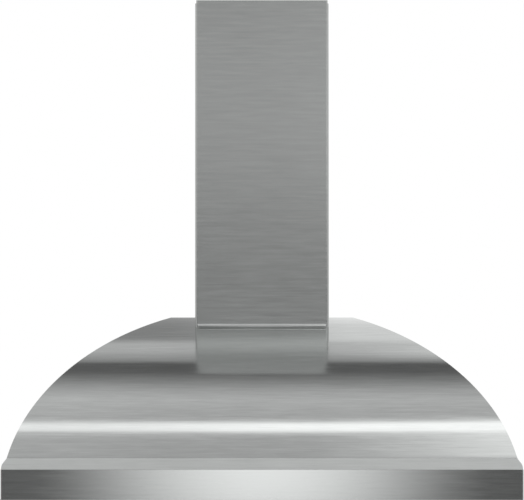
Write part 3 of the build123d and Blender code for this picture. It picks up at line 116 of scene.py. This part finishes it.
# The photograph is a straight front view from far off. Its horizon lies low on the canopy, so the
# camera stands at that height over the lip's bottom edge and looks up a little. The focal length
# and the horizon's drop below the picture's middle are in pixels of the photograph.
PHOTO_WIDTH = 524
FOCAL_PIXELS = 5880
HORIZON_DROP_PIXELS = 130.3
CAMERA_DISTANCE = 12.0
CAMERA_HEIGHT = 0.2447

camera_data = bpy.data.cameras.new("camera")
camera_data.sensor_width = 36
camera_data.lens = camera_data.sensor_width * FOCAL_PIXELS / PHOTO_WIDTH
camera_data.clip_end = 100
camera = stand("camera", camera_data)
camera.location = (0, cad_low.y - CAMERA_DISTANCE, cad_low.z + CAMERA_HEIGHT)
camera.rotation_euler = (math.pi / 2 + math.atan(HORIZON_DROP_PIXELS / FOCAL_PIXELS), 0, 0)
bpy.context.scene.camera = camera
bpy.context.scene.view_settings.view_transform = "Standard"


# Materials

# The vault is an ellipse about the lip's bottom edge, as wide as the lip.
lip_low, lip_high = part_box("lip_band")
VAULT_RISE = 0.404
# Its foot is folded out to a flare after the sheet is brushed, which opens the grain below the
# fold. The flare leans out by this angle from upright.
FOLD_HEIGHT = lip_high.z + 23 * MM
FOLD_BLEND = 6 * MM
FOLDED_ROUGHNESS = 0.26
FLARE_LEAN = math.radians(38)
# A face is taken for the outside of the vault or the flare where the cosine between its own
# normal and theirs is above these.
VAULT_LIKENESS = 0.8
FLARE_LIKENESS = 0.75


def folded_foot(tree, place, gloss):
    """The gloss of a vaulted sheet, duller on the flare at its foot."""
    height = add(tree, "ShaderNodeSeparateXYZ", {0: place}).outputs["Z"]
    opened = add(tree, "ShaderNodeMapRange",
                 {"Value": height, "From Min": FOLD_HEIGHT + FOLD_BLEND / 2,
                  "From Max": FOLD_HEIGHT - FOLD_BLEND / 2,
                  "To Min": 0.0, "To Max": FOLDED_ROUGHNESS}, interpolation_type="SMOOTHSTEP")
    return add(tree, "ShaderNodeMath", {0: gloss, 1: opened.outputs[0]}).outputs[0]


def vault_normal(tree, place, reach):
    """The true normal outside a vaulted sheet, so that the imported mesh's facets don't bend the
    reflections: the ellipse's own above the fold, and the flare's own below it, where the sheet is
    flat to a crisp edge on the lip. `reach` is the half width along X and Y, and zero along the
    run of the sheet."""
    faces = add(tree, "ShaderNodeNewGeometry").outputs["Normal"]
    height = add(tree, "ShaderNodeSeparateXYZ", {0: place}).outputs["Z"]
    slope = [1 / length ** 2 if length else 0.0 for length in (*reach, VAULT_RISE)]
    outward = [math.cos(FLARE_LEAN) / abs(length) if length else 0.0 for length in reach]
    zones = [
        (slope, (0, 0, -lip_low.z * slope[2]), "GREATER_THAN", VAULT_LIKENESS),
        ((*outward, 0), (0, 0, math.sin(FLARE_LEAN)), "LESS_THAN", FLARE_LIKENESS),
    ]
    normal = faces
    for factor, offset, side, likeness in zones:
        raised = add(tree, "ShaderNodeVectorMath", {0: place, 1: factor, 2: offset},
                     operation="MULTIPLY_ADD")
        true = add(tree, "ShaderNodeVectorTransform", {0: raised.outputs[0]},
                   vector_type="NORMAL", convert_from="OBJECT", convert_to="WORLD").outputs[0]
        along = add(tree, "ShaderNodeVectorMath", {0: true, 1: faces}, operation="DOT_PRODUCT")
        outside = add(tree, "ShaderNodeMath", {0: along.outputs["Value"], 1: likeness},
                      operation="GREATER_THAN")
        zone = add(tree, "ShaderNodeMath", {0: height, 1: FOLD_HEIGHT}, operation=side)
        share = add(tree, "ShaderNodeMath", {0: outside.outputs[0], 1: zone.outputs[0]},
                    operation="MULTIPLY")
        # Sockets 4 and 5 and output 1 are the mix node's vectors.
        normal = add(tree, "ShaderNodeMix", {"Factor": share.outputs[0], 4: normal, 5: true},
                     data_type="VECTOR").outputs[1]
    return normal


# A belt of 180 grit leaves scratches under 0.1 mm wide. They are drawn 2 mm wide, because finer
# ones don't show at this distance, over the broader streaks of the belt's passes. Both have a
# size across the grain and one along it, in mm.
SCRATCHES = (2, 120)
PASSES = (8, 70)
# How far the scratches change the tone, as a share of it, and the roughness.
SCRATCH_TONE = 0.09
SCRATCH_ROUGHNESS = 0.02


def brushed_stainless(name, grain, shade="#C2C4C3", roughness=0.2, reach=None):
    """Stainless sheet, brushed on a belt: fine straight scratches that pull reflections across
    the grain into soft streaks. `grain` names the axes that the scratches run along, and a
    vaulted sheet gives its `reach`."""
    material, tree, output, place = begin(name)
    layers = []
    for across, along in (SCRATCHES, PASSES):
        scale = [1 / ((along if axis in grain else across) * MM) for axis in "xyz"]
        stretched = add(tree, "ShaderNodeMapping", {"Vector": place, "Scale": scale})
        noise = add(tree, "ShaderNodeTexNoise", {"Vector": stretched.outputs[0], "Scale": 1.0,
                                                 "Detail": 3.0, "Roughness": 0.6})
        layers.append(noise.outputs[0])
    half = add(tree, "ShaderNodeMath", {0: layers[1], 1: 0.5}, operation="MULTIPLY")
    streaks = add(tree, "ShaderNodeMath", {0: layers[0], 1: 0.5, 2: half.outputs[0]},
                  operation="MULTIPLY_ADD").outputs[0]
    tone = add(tree, "ShaderNodeValToRGB", {"Fac": streaks},
               stops=[(0.3, linear(shade, 1 - SCRATCH_TONE)),
                      (0.7, linear(shade, 1 + SCRATCH_TONE))])
    gloss = add(tree, "ShaderNodeMapRange", {"Value": streaks, "From Min": 0.35, "From Max": 0.65,
                                             "To Min": roughness - SCRATCH_ROUGHNESS,
                                             "To Max": roughness + SCRATCH_ROUGHNESS})
    metal = add(tree, "ShaderNodeBsdfPrincipled", {"Base Color": tone.outputs[0], "Metallic": 1.0,
                                                   "Roughness": gloss.outputs[0]})
    if reach:
        tree.links.new(folded_foot(tree, place, gloss.outputs[0]), metal.inputs["Roughness"])
        tree.links.new(vault_normal(tree, place, reach), metal.inputs["Normal"])
    tree.links.new(metal.outputs[0], output.inputs["Surface"])
    return material


def galvanised(name):
    """Hot-dipped zinc on steel: pale blue-grey crystals, each with its own tone and gloss."""
    material, tree, output, place = begin(name)
    # The crystals of a sheet's zinc are about 9 mm across.
    spangle = add(tree, "ShaderNodeTexVoronoi", {"Vector": place, "Scale": 1 / (9 * MM)})
    haze = add(tree, "ShaderNodeTexNoise", {"Vector": place, "Scale": 1 / (60 * MM),
                                            "Detail": 3.0})
    tone = add(tree, "ShaderNodeValToRGB", {"Fac": spangle.outputs["Color"]},
               stops=[(0.0, linear("#A9AFB3")), (1.0, linear("#C3C8CB"))])
    gloss = add(tree, "ShaderNodeMapRange", {"Value": haze.outputs[0], "From Min": 0.3,
                                             "From Max": 0.7, "To Min": 0.34, "To Max": 0.48})
    metal = add(tree, "ShaderNodeBsdfPrincipled", {"Base Color": tone.outputs[0], "Metallic": 1.0,
                                                   "Roughness": gloss.outputs[0]})
    tree.links.new(metal.outputs[0], output.inputs["Surface"])
    return material


def smooth_metal(name, shade, glossy, dull, patch=25):
    """Polished, plated or rolled metal: one tone, with faint wear in patches of `patch` mm, whose
    roughness lies between `glossy` and `dull`."""
    material, tree, output, place = begin(name)
    wear = add(tree, "ShaderNodeTexNoise", {"Vector": place, "Scale": 1 / (patch * MM),
                                            "Detail": 4.0})
    tone = add(tree, "ShaderNodeValToRGB", {"Fac": wear.outputs[0]},
               stops=[(0.35, linear(shade, 0.94)), (0.65, linear(shade))])
    gloss = add(tree, "ShaderNodeMapRange", {"Value": wear.outputs[0], "From Min": 0.3,
                                             "From Max": 0.7, "To Min": glossy, "To Max": dull})
    metal = add(tree, "ShaderNodeBsdfPrincipled", {"Base Color": tone.outputs[0], "Metallic": 1.0,
                                                   "Roughness": gloss.outputs[0]})
    tree.links.new(metal.outputs[0], output.inputs["Surface"])
    return material


def moulded(name, shade, roughness, grit):
    """Moulded plastic or sprayed enamel: a plain colour under a fine orange-peel of `grit` mm."""
    material, tree, output, place = begin(name)
    peel = add(tree, "ShaderNodeTexNoise", {"Vector": place, "Scale": 1 / (grit * MM),
                                            "Detail": 2.0})
    tone = add(tree, "ShaderNodeValToRGB", {"Fac": peel.outputs[0]},
               stops=[(0.3, linear(shade, 0.85)), (0.7, linear(shade))])
    relief = add(tree, "ShaderNodeBump", {"Height": peel.outputs[0], "Strength": 0.15,
                                          "Distance": 0.1 * MM})
    skin = add(tree, "ShaderNodeBsdfPrincipled", {"Base Color": tone.outputs[0],
                                                  "Roughness": roughness,
                                                  "Normal": relief.outputs[0]})
    tree.links.new(skin.outputs[0], output.inputs["Surface"])
    return material


def lamp_glass(name, shade, roughness):
    """Pressed glass, frosted inside: milky, with a fine grain that spreads the lamp's light."""
    material, tree, output, place = begin(name)
    frost = add(tree, "ShaderNodeTexNoise", {"Vector": place, "Scale": 1 / (1.2 * MM),
                                             "Detail": 2.0})
    relief = add(tree, "ShaderNodeBump", {"Height": frost.outputs[0], "Strength": 0.2,
                                          "Distance": 0.2 * MM})
    tone = add(tree, "ShaderNodeValToRGB", {"Fac": frost.outputs[0]},
               stops=[(0.3, linear(shade)), (0.7, linear("#F4F5F3"))])
    glass = add(tree, "ShaderNodeBsdfPrincipled", {"Base Color": tone.outputs[0],
                                                   "Roughness": roughness, "IOR": 1.52,
                                                   "Transmission Weight": 0.7,
                                                   "Normal": relief.outputs[0]})
    tree.links.new(glass.outputs[0], output.inputs["Surface"])
    return material


# Sheets in the brushed_stainless slot, the chimney covers among them, are the same steel as the
# vault but take a darker tone: painted shade, which darkens the chimney and its reflection in the
# vault.
shaded_upright_sheet = brushed_stainless("brushed_stainless_upright_painted_shade", "xy", "#B3B5B4", 0.25)
lip_sheet = brushed_stainless("brushed_stainless_lip", "xy", roughness=0.12)
front_sheet = brushed_stainless("brushed_stainless_front", "x", roughness=0.1,
                                reach=(0, lip_low.y))
side_sheet = brushed_stainless("brushed_stainless_side", "y", roughness=0.1,
                               reach=(lip_high.x, 0))
finishes = {
    "brushed_stainless": shaded_upright_sheet,
    "satin_stainless": brushed_stainless("satin_stainless", "x", "#BFC1C0", 0.3),
    "galvanised_steel": galvanised("galvanised_steel"),
    "polished_steel": smooth_metal("polished_steel", "#D6D7D6", 0.08, 0.16),
    "spring_steel": smooth_metal("spring_steel", "#A9AAAB", 0.25, 0.35),
    "frosted_glass": lamp_glass("frosted_lamp_glass", "#E9EAE6", 0.35),
    "bulb_glass": lamp_glass("reflector_bulb_glass", "#DADBD6", 0.2),
    "black_plastic": moulded("black_nylon", "#1D1D1F", 0.55, 0.8),
    "can_aluminium": smooth_metal("drawn_aluminium", "#CFD1D3", 0.28, 0.4),
    "motor_paint": moulded("motor_enamel", "#232325", 0.35, 1.5),
    "plated_screws": smooth_metal("bright_zinc", "#C2C5C6", 0.2, 0.3, 4),
}
own_grain = {
    "canopy_front": front_sheet,
    "canopy_left_side": side_sheet,
    "canopy_right_side": side_sheet,
    "lip_band": lip_sheet,
}
for entry in frame["record"]["subparts"]:
    name = entry["node"]
    materials = nodes[name].data.materials
    for index in range(len(materials)):
        materials[index] = own_grain.get(name, finishes[entry["material_slot"]])


# Pieces in mesh code

# Edges that turn by more than this stay sharp.
CREASE = math.radians(40)


def wall(shape, upper, lower):
    """The faces between two loops of as many vertices."""
    for i in range(len(upper)):
        shape.faces.new((upper[i - 1], upper[i], lower[i], lower[i - 1]))


def piece_from(shape, name, material):
    """A finished shape as an object of its own, smooth but for its creases."""
    mesh = bpy.data.meshes.new(name)
    shape.to_mesh(mesh)
    shape.free()
    mesh.shade_smooth()
    mesh.set_sharp_from_angle(angle=CREASE)
    mesh.materials.append(material)
    return stand(name, mesh)


# Screws

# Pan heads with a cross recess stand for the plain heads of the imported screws. The lengths are
# shares of the head's radius and height.
HEAD_PROFILE = [(0.62, 1.0), (0.82, 0.93), (0.94, 0.74), (1.0, 0.42), (1.0, 0.0)]
HEAD_STEPS = 32
RECESS_REACH = 0.46
RECESS_HALF_WIDTH = 0.12
RECESS_DEEP = 0.7
RECESS_TAPER = 0.75
NUT_SIDES = 6


def loop(shape, points, height):
    """A closed loop of vertices at one height, with the edges between them."""
    corners = [shape.verts.new((x, y, height)) for x, y in points]
    return corners, [shape.edges.new((corners[i - 1], corners[i])) for i in range(len(corners))]


def circle(radius, steps):
    """Points round the screw's axis."""
    turns = [2 * math.pi * step / steps for step in range(steps)]
    return [(radius * math.cos(turn), radius * math.sin(turn)) for turn in turns]


def pan_head_screw(head_r, head_tall, shank_r, shank_long, nut_r=0.0, nut_top=0.0, nut_tall=0.0):
    """A screw that stands on the origin with its head up, and its nut where it has one."""
    shape = bmesh.new()
    rings = [loop(shape, circle(share * head_r, HEAD_STEPS), rise * head_tall)
             for share, rise in HEAD_PROFILE]
    shank = [loop(shape, circle(shank_r, HEAD_STEPS), height) for height in (0, -shank_long)]
    rounds = [ring[0] for ring in rings + shank]
    for upper, lower in zip(rounds, rounds[1:]):
        wall(shape, upper, lower)
    shape.faces.new(rounds[-1])
    half, reach = RECESS_HALF_WIDTH * head_r, RECESS_REACH * head_r
    quarter = [(half, half), (half, reach), (-half, reach)]
    cross = []
    while len(cross) < 4 * len(quarter):
        cross += quarter
        quarter = [(-y, x) for x, y in quarter]
    mouth, mouth_edges = loop(shape, cross, head_tall)
    narrow = [(RECESS_TAPER * x, RECESS_TAPER * y) for x, y in cross]
    bottom = loop(shape, narrow, (1 - RECESS_DEEP) * head_tall)[0]
    wall(shape, mouth, bottom)
    shape.faces.new(bottom)
    bmesh.ops.triangle_fill(shape, edges=rings[0][1] + mouth_edges, use_beauty=True)
    if nut_r:
        ends = [loop(shape, circle(nut_r, NUT_SIDES), nut_top - drop)[0]
                for drop in (0, nut_tall)]
        wall(shape, *ends)
        for corners in ends:
            shape.faces.new(corners)
    bmesh.ops.recalc_face_normals(shape, faces=shape.faces)
    mesh = bpy.data.meshes.new("pan_head_screw")
    shape.to_mesh(mesh)
    shape.free()
    return mesh


def place_screws(name, node, screw, seats):
    """Copies of a screw on their seats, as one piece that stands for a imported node."""
    shape = bmesh.new()
    for seat in seats:
        first = len(shape.verts)
        shape.from_mesh(screw)
        shape.verts.ensure_lookup_table()
        bmesh.ops.transform(shape, matrix=seat, verts=shape.verts[first:])
    bpy.data.meshes.remove(screw)
    piece = piece_from(shape, name, finishes["plated_screws"])
    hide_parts(node)
    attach(piece, "hood")


HEAD_R = 4.4 * MM
SHANK_R = 2.4 * MM
SIDE_HEAD_TALL = 1.2 * MM
SIDE_SHANK_LONG = 7 * MM
side_low, side_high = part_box("chimney_screws")
side_screw = pan_head_screw(HEAD_R, SIDE_HEAD_TALL, SHANK_R, SIDE_SHANK_LONG)
side_seats = []
for side in (-1, 1):
    for y in (side_low.y + HEAD_R, side_high.y - HEAD_R):
        seat = (side * (side_high.x - SIDE_HEAD_TALL), y, (side_low.z + side_high.z) / 2)
        side_seats.append(Matrix.Translation(seat) @ Matrix.Rotation(side * math.pi / 2, 4, "Y"))
place_screws("chimney_pan_head_screws", "chimney_screws", side_screw, side_seats)

# The screws round the outlet stand two to a side, and each pair stands a flange's width inside the
# corners of their box.
FLANGE_IN = 9 * MM
OUTLET_HEAD_TALL = 2.6 * MM
NUT_R = 4.6 * MM
NUT_TALL = 4 * MM
outlet_low, outlet_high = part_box("outlet_screws")
seat_z = outlet_high.z - OUTLET_HEAD_TALL
outlet_screw = pan_head_screw(HEAD_R, OUTLET_HEAD_TALL, SHANK_R, seat_z - outlet_low.z, NUT_R,
                              outlet_low.z - seat_z + NUT_TALL, NUT_TALL)
centre_y = (outlet_low.y + outlet_high.y) / 2
half_x = outlet_high.x - NUT_R
half_y = (outlet_high.y - outlet_low.y) / 2 - HEAD_R
outlet_places = []
for side in (-1, 1):
    for end in (-1, 1):
        outlet_places.append((side * half_x, centre_y + end * (half_y - FLANGE_IN)))
        outlet_places.append((end * (half_x - FLANGE_IN), centre_y + side * half_y))
place_screws("outlet_pan_head_screws", "outlet_screws", outlet_screw,
             [Matrix.Translation((x, y, seat_z)) for x, y in outlet_places])


# Hem

# The front edge of the lower chimney cover is folded over outside and rolled, so it ends in a
# half-round bead that stands on the vault. The bead's root lies a little way into the cover. Its
# ends are rounded off beside the cover's bends, to a tip that is this share of its full size.
HEM_TALL = 6.5 * MM
HEM_PROUD = 1.4 * MM
HEM_ROOT = 0.3 * MM
HEM_STEPS = 16
COVER_BEND = 6 * MM
END_ROUND = 3 * MM
END_STEPS = 6
END_TIP = 0.02

cover_low, cover_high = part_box("lower_chimney")
vault_top = lip_low.z + VAULT_RISE * math.sqrt(1 - (cover_low.y / lip_low.y) ** 2)
half_run = cover_high.x - COVER_BEND
# Each station has a place along X and the bead's size there, as a share of its full size.
stations = []
for step in range(END_STEPS + 1):
    turn = math.pi / 2 * step / END_STEPS
    stations.append((-half_run + END_ROUND * (1 - math.cos(turn)), max(math.sin(turn), END_TIP)))
stations += [(-x, size) for x, size in reversed(stations)]
bead = bmesh.new()
rings = []
for x, size in stations:
    ring = []
    for step in range(HEM_STEPS + 1):
        turn = math.pi * step / HEM_STEPS
        proud = (HEM_PROUD + HEM_ROOT) * math.sin(turn) * size
        rise = HEM_TALL / 2 * math.cos(turn) * size
        ring.append(bead.verts.new((x, cover_low.y + HEM_ROOT - proud,
                                    vault_top + HEM_TALL / 2 + rise)))
    rings.append(ring)
for first, second in zip(rings, rings[1:]):
    wall(bead, first, second)
for ring in (rings[0], rings[-1]):
    bead.faces.new(ring)
bmesh.ops.recalc_face_normals(bead, faces=bead.faces)
hem = piece_from(bead, "chimney_rolled_hem", lip_sheet)
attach(hem, "hood")


# Stage

# A round tent of pale cloth stands round the hood. It is lit in bands, as soft boxes and flags
# behind it would, and the brushed sheets show those bands. The camera looks in from outside.
TENT_R = 3.0
TENT_CENTRE = Vector((0, -0.4, 0))
# The bands run along X over the front and the top. Their place is an angle in degrees, which
# climbs from the front horizon at 0 over the top to the rear horizon at 180. About 0 lies the
# dark of the counter, with the floor's light below it.
FIRST_ANGLE, LAST_ANGLE = -90, 180
BAND_LIGHTS = [
    (-40, 0.60), (-25, 0.30), (-12, 0.15), (-4.5, 0.15), (0, 0.12), (4, 0.15), (6, 0.36),
    (9, 0.70), (11, 0.80), (14, 0.79), (17, 0.55), (27, 0.42), (31, 0.60), (38, 0.61),
    (48, 0.62), (52, 0.82), (54.7, 1.72), (59.7, 1.72), (62.7, 0.72), (66, 0.63), (80, 0.74),
    (88, 0.60), (95, 0.38), (103, 0.17), (110, 0.14), (112.5, 0.42), (121, 0.65), (180, 0.90),
]
# The right side of the tent is lit a little more, low in front and behind the top, and the long
# soft box dims towards its left end.
RIGHT_LIFTS = [
    (6, 0), (10, 0.8), (16, 0.8), (20, 0), (26, 0), (33, 1), (50, 1), (54.5, 0.1), (59, 0),
    (60.5, 0.7), (62.7, 0.6), (66, 0.2), (70, 0), (111, 0), (115, 0.4), (119, 1), (180, 1),
]
LEFT_DIMS = [(51, 0), (54, 1), (60, 1), (63, 0)]
# High behind the hood, the cloth is shaded on the left and lit more on the right.
REAR_SHARES = [(126.5, 0), (131, 1), (150, 1), (165, 0)]
# A round soft box low in front gives the lip its bright middle.
SPOT_HEIGHT = -0.26
SPOT_HALF_WIDTH = 0.68
SPOT_HALF_HEIGHT = 0.38
SPOT_LEVEL = 1.64
# To the sides and behind, the cloth is evenly lit: dim at the foot and bright from eye level up.
# The places are shares of the tent's height.
EVEN_LIGHTS = [(0.0, 0.5), (0.46, 0.42), (0.52, 0.75), (0.66, 1.0), (0.8, 0.7), (1.0, 0.75)]
# Where each change across the tent starts and ends, in metres, and its value at both. "aside" is
# the distance to either side.
FADES = {
    "right lift": ("X", 0.05, 0.9, 0.0, 0.8, "SMOOTHSTEP"),
    "left dim": ("X", -0.6, 0.1, -0.4, 0.0, "SMOOTHSTEP"),
    "left gain": ("X", -0.75, -0.2, 1.12, 1.0, "LINEAR"),
    "rear gain": ("X", -0.25, 0.25, 0.5, 1.4, "SMOOTHSTEP"),
    "even sides": ("aside", 1.2, 2.4, 0.0, 1.0, "SMOOTHSTEP"),
    "even back": ("Y", 1.2, 2.2, 0.0, 1.0, "SMOOTHSTEP"),
}


def gain(level):
    """A grey of that brightness, for a ramp that holds light."""
    return (level, level, level, 1)


def along_turn(levels, share=1.0):
    """Levels by angle as the stops of a ramp over the whole turn."""
    return [((angle - FIRST_ANGLE) / (LAST_ANGLE - FIRST_ANGLE), gain(level * share))
            for angle, level in levels]


cloth, tree, output, place = begin("light_tent_cloth")
apart = add(tree, "ShaderNodeSeparateXYZ", {0: place}).outputs
ahead = add(tree, "ShaderNodeMath", {0: apart["Y"], 1: -1.0}, operation="MULTIPLY")
climb = add(tree, "ShaderNodeMath", {0: apart["Z"], 1: ahead.outputs[0]}, operation="ARCTAN2")
turned = add(tree, "ShaderNodeMapRange", {"Value": climb.outputs[0],
                                          "From Min": math.radians(FIRST_ANGLE),
                                          "From Max": math.radians(LAST_ANGLE)}).outputs[0]
aside = add(tree, "ShaderNodeMath", {0: apart["X"]}, operation="ABSOLUTE")
places = {"X": apart["X"], "Y": apart["Y"], "aside": aside.outputs[0]}
fades = {}
for name, (axis, start, end, from_value, to_value, curve) in FADES.items():
    fade = add(tree, "ShaderNodeMapRange", {"Value": places[axis], "From Min": start,
                                            "From Max": end, "To Min": from_value,
                                            "To Max": to_value}, interpolation_type=curve)
    fades[name] = fade.outputs[0]

# A ramp holds no value above one, so the bands' levels are halved and doubled again after it.
bands = add(tree, "ShaderNodeValToRGB", {"Fac": turned}, stops=along_turn(BAND_LIGHTS, 0.5))
light = add(tree, "ShaderNodeMath", {0: bands.outputs[0], 1: 2.0}, operation="MULTIPLY")
for levels, name in ((RIGHT_LIFTS, "right lift"), (LEFT_DIMS, "left dim")):
    ramp = add(tree, "ShaderNodeValToRGB", {"Fac": turned}, stops=along_turn(levels))
    light = add(tree, "ShaderNodeMath", {0: ramp.outputs[0], 1: fades[name], 2: light.outputs[0]},
                operation="MULTIPLY_ADD")
spot_place = add(tree, "ShaderNodeMapping",
                 {"Vector": place, "Location": (0, TENT_R, -SPOT_HEIGHT / SPOT_HALF_HEIGHT),
                  "Scale": (1 / SPOT_HALF_WIDTH, 1, 1 / SPOT_HALF_HEIGHT)})
spot_reach = add(tree, "ShaderNodeVectorMath", {0: spot_place.outputs[0]}, operation="LENGTH")
spot = add(tree, "ShaderNodeMapRange", {"Value": spot_reach.outputs["Value"], "From Min": 0.0,
                                        "From Max": 1.0, "To Min": SPOT_LEVEL, "To Max": 0.0},
           interpolation_type="SMOOTHSTEP")
brighter = add(tree, "ShaderNodeMath", {0: light.outputs[0], 1: spot.outputs[0]},
               operation="MAXIMUM")
front = add(tree, "ShaderNodeMath", {0: brighter.outputs[0], 1: fades["left gain"]},
            operation="MULTIPLY")
raised = add(tree, "ShaderNodeMapRange", {"Value": apart["Z"], "From Min": -TENT_R,
                                          "From Max": TENT_R})
even = add(tree, "ShaderNodeValToRGB", {"Fac": raised.outputs[0]},
           stops=[(share, gain(level)) for share, level in EVEN_LIGHTS])
evenness = add(tree, "ShaderNodeMath", {0: fades["even sides"], 1: fades["even back"]},
               operation="MAXIMUM")
# Sockets 2 and 3 are the mix node's numbers.
around = add(tree, "ShaderNodeMix", {"Factor": evenness.outputs[0], 2: front.outputs[0],
                                     3: even.outputs[0]})
rear = add(tree, "ShaderNodeValToRGB", {"Fac": turned}, stops=along_turn(REAR_SHARES))
rear_gain = add(tree, "ShaderNodeMix", {"Factor": rear.outputs[0], 2: 1.0, 3: fades["rear gain"]})
strength = add(tree, "ShaderNodeMath", {0: around.outputs[0], 1: rear_gain.outputs[0]},
               operation="MULTIPLY")
glow = add(tree, "ShaderNodeEmission", {"Color": gain(1.0), "Strength": strength.outputs[0]})
tree.links.new(glow.outputs[0], output.inputs["Surface"])

tent_mesh = bpy.data.meshes.new("light_tent")
shell = bmesh.new()
bmesh.ops.create_uvsphere(shell, u_segments=96, v_segments=48, radius=TENT_R)
shell.to_mesh(tent_mesh)
shell.free()
tent_mesh.materials.append(cloth)
tent = stand("light_tent", tent_mesh)
tent.location = TENT_CENTRE
tent.visible_camera = False
tent.visible_transmission = False

# Floor: pale sheet vinyl with a faint mottle of 4 mm, which keeps the hood's soft shadow. It glows
# by what its own shade lacks to white, for the camera, for gloss and for glass, and is left out
# where it is seen from below.
FLOOR_HALF = 40.0
# A hood hangs about 1.68 m over the floor.
FLOOR_HEIGHT = cad_low.z - 1.68
LACK_OF_WHITE = 0.55

vinyl, tree, output, place = begin("pale_vinyl_floor")
mottle = add(tree, "ShaderNodeTexNoise", {"Vector": place, "Scale": 1 / (4 * MM), "Detail": 2.0})
tone = add(tree, "ShaderNodeValToRGB", {"Fac": mottle.outputs[0]},
           stops=[(0.3, linear("#E6E6E4")), (0.7, linear("#EBEBE9"))])
sheet = add(tree, "ShaderNodeBsdfDiffuse", {"Color": tone.outputs[0]})
rays = add(tree, "ShaderNodeLightPath").outputs
seen = rays["Is Camera Ray"]
for kind in ("Is Glossy Ray", "Is Transmission Ray"):
    seen = add(tree, "ShaderNodeMath", {0: seen, 1: rays[kind]}, operation="MAXIMUM").outputs[0]
missing = add(tree, "ShaderNodeMath", {0: seen, 1: LACK_OF_WHITE}, operation="MULTIPLY")
white = add(tree, "ShaderNodeEmission", {"Color": gain(1.0), "Strength": missing.outputs[0]})
lit = add(tree, "ShaderNodeAddShader", {0: sheet.outputs[0], 1: white.outputs[0]})
clear = add(tree, "ShaderNodeBsdfTransparent")
facing = add(tree, "ShaderNodeNewGeometry")
one_way = add(tree, "ShaderNodeMixShader", {0: facing.outputs["Backfacing"], 1: lit.outputs[0],
                                            2: clear.outputs[0]})
tree.links.new(one_way.outputs[0], output.inputs["Surface"])

floor_mesh = bpy.data.meshes.new("floor")
corners = [(-FLOOR_HALF, -FLOOR_HALF, 0), (FLOOR_HALF, -FLOOR_HALF, 0),
           (FLOOR_HALF, FLOOR_HALF, 0), (-FLOOR_HALF, FLOOR_HALF, 0)]
floor_mesh.from_pydata(corners, [], [(0, 1, 2, 3)])
floor_mesh.materials.append(vinyl)
floor = stand("floor", floor_mesh)
floor.location = (0, 0, FLOOR_HEIGHT)

# World: plain white air, which the camera sees round the hood
world = bpy.data.worlds.new("studio_air")
bpy.context.scene.world = world
world.use_nodes = True
air = world.node_tree
air.nodes.clear()
sky = add(air, "ShaderNodeBackground", {"Color": gain(1.0), "Strength": 1.0})
add(air, "ShaderNodeOutputWorld", {"Surface": sky.outputs[0]})
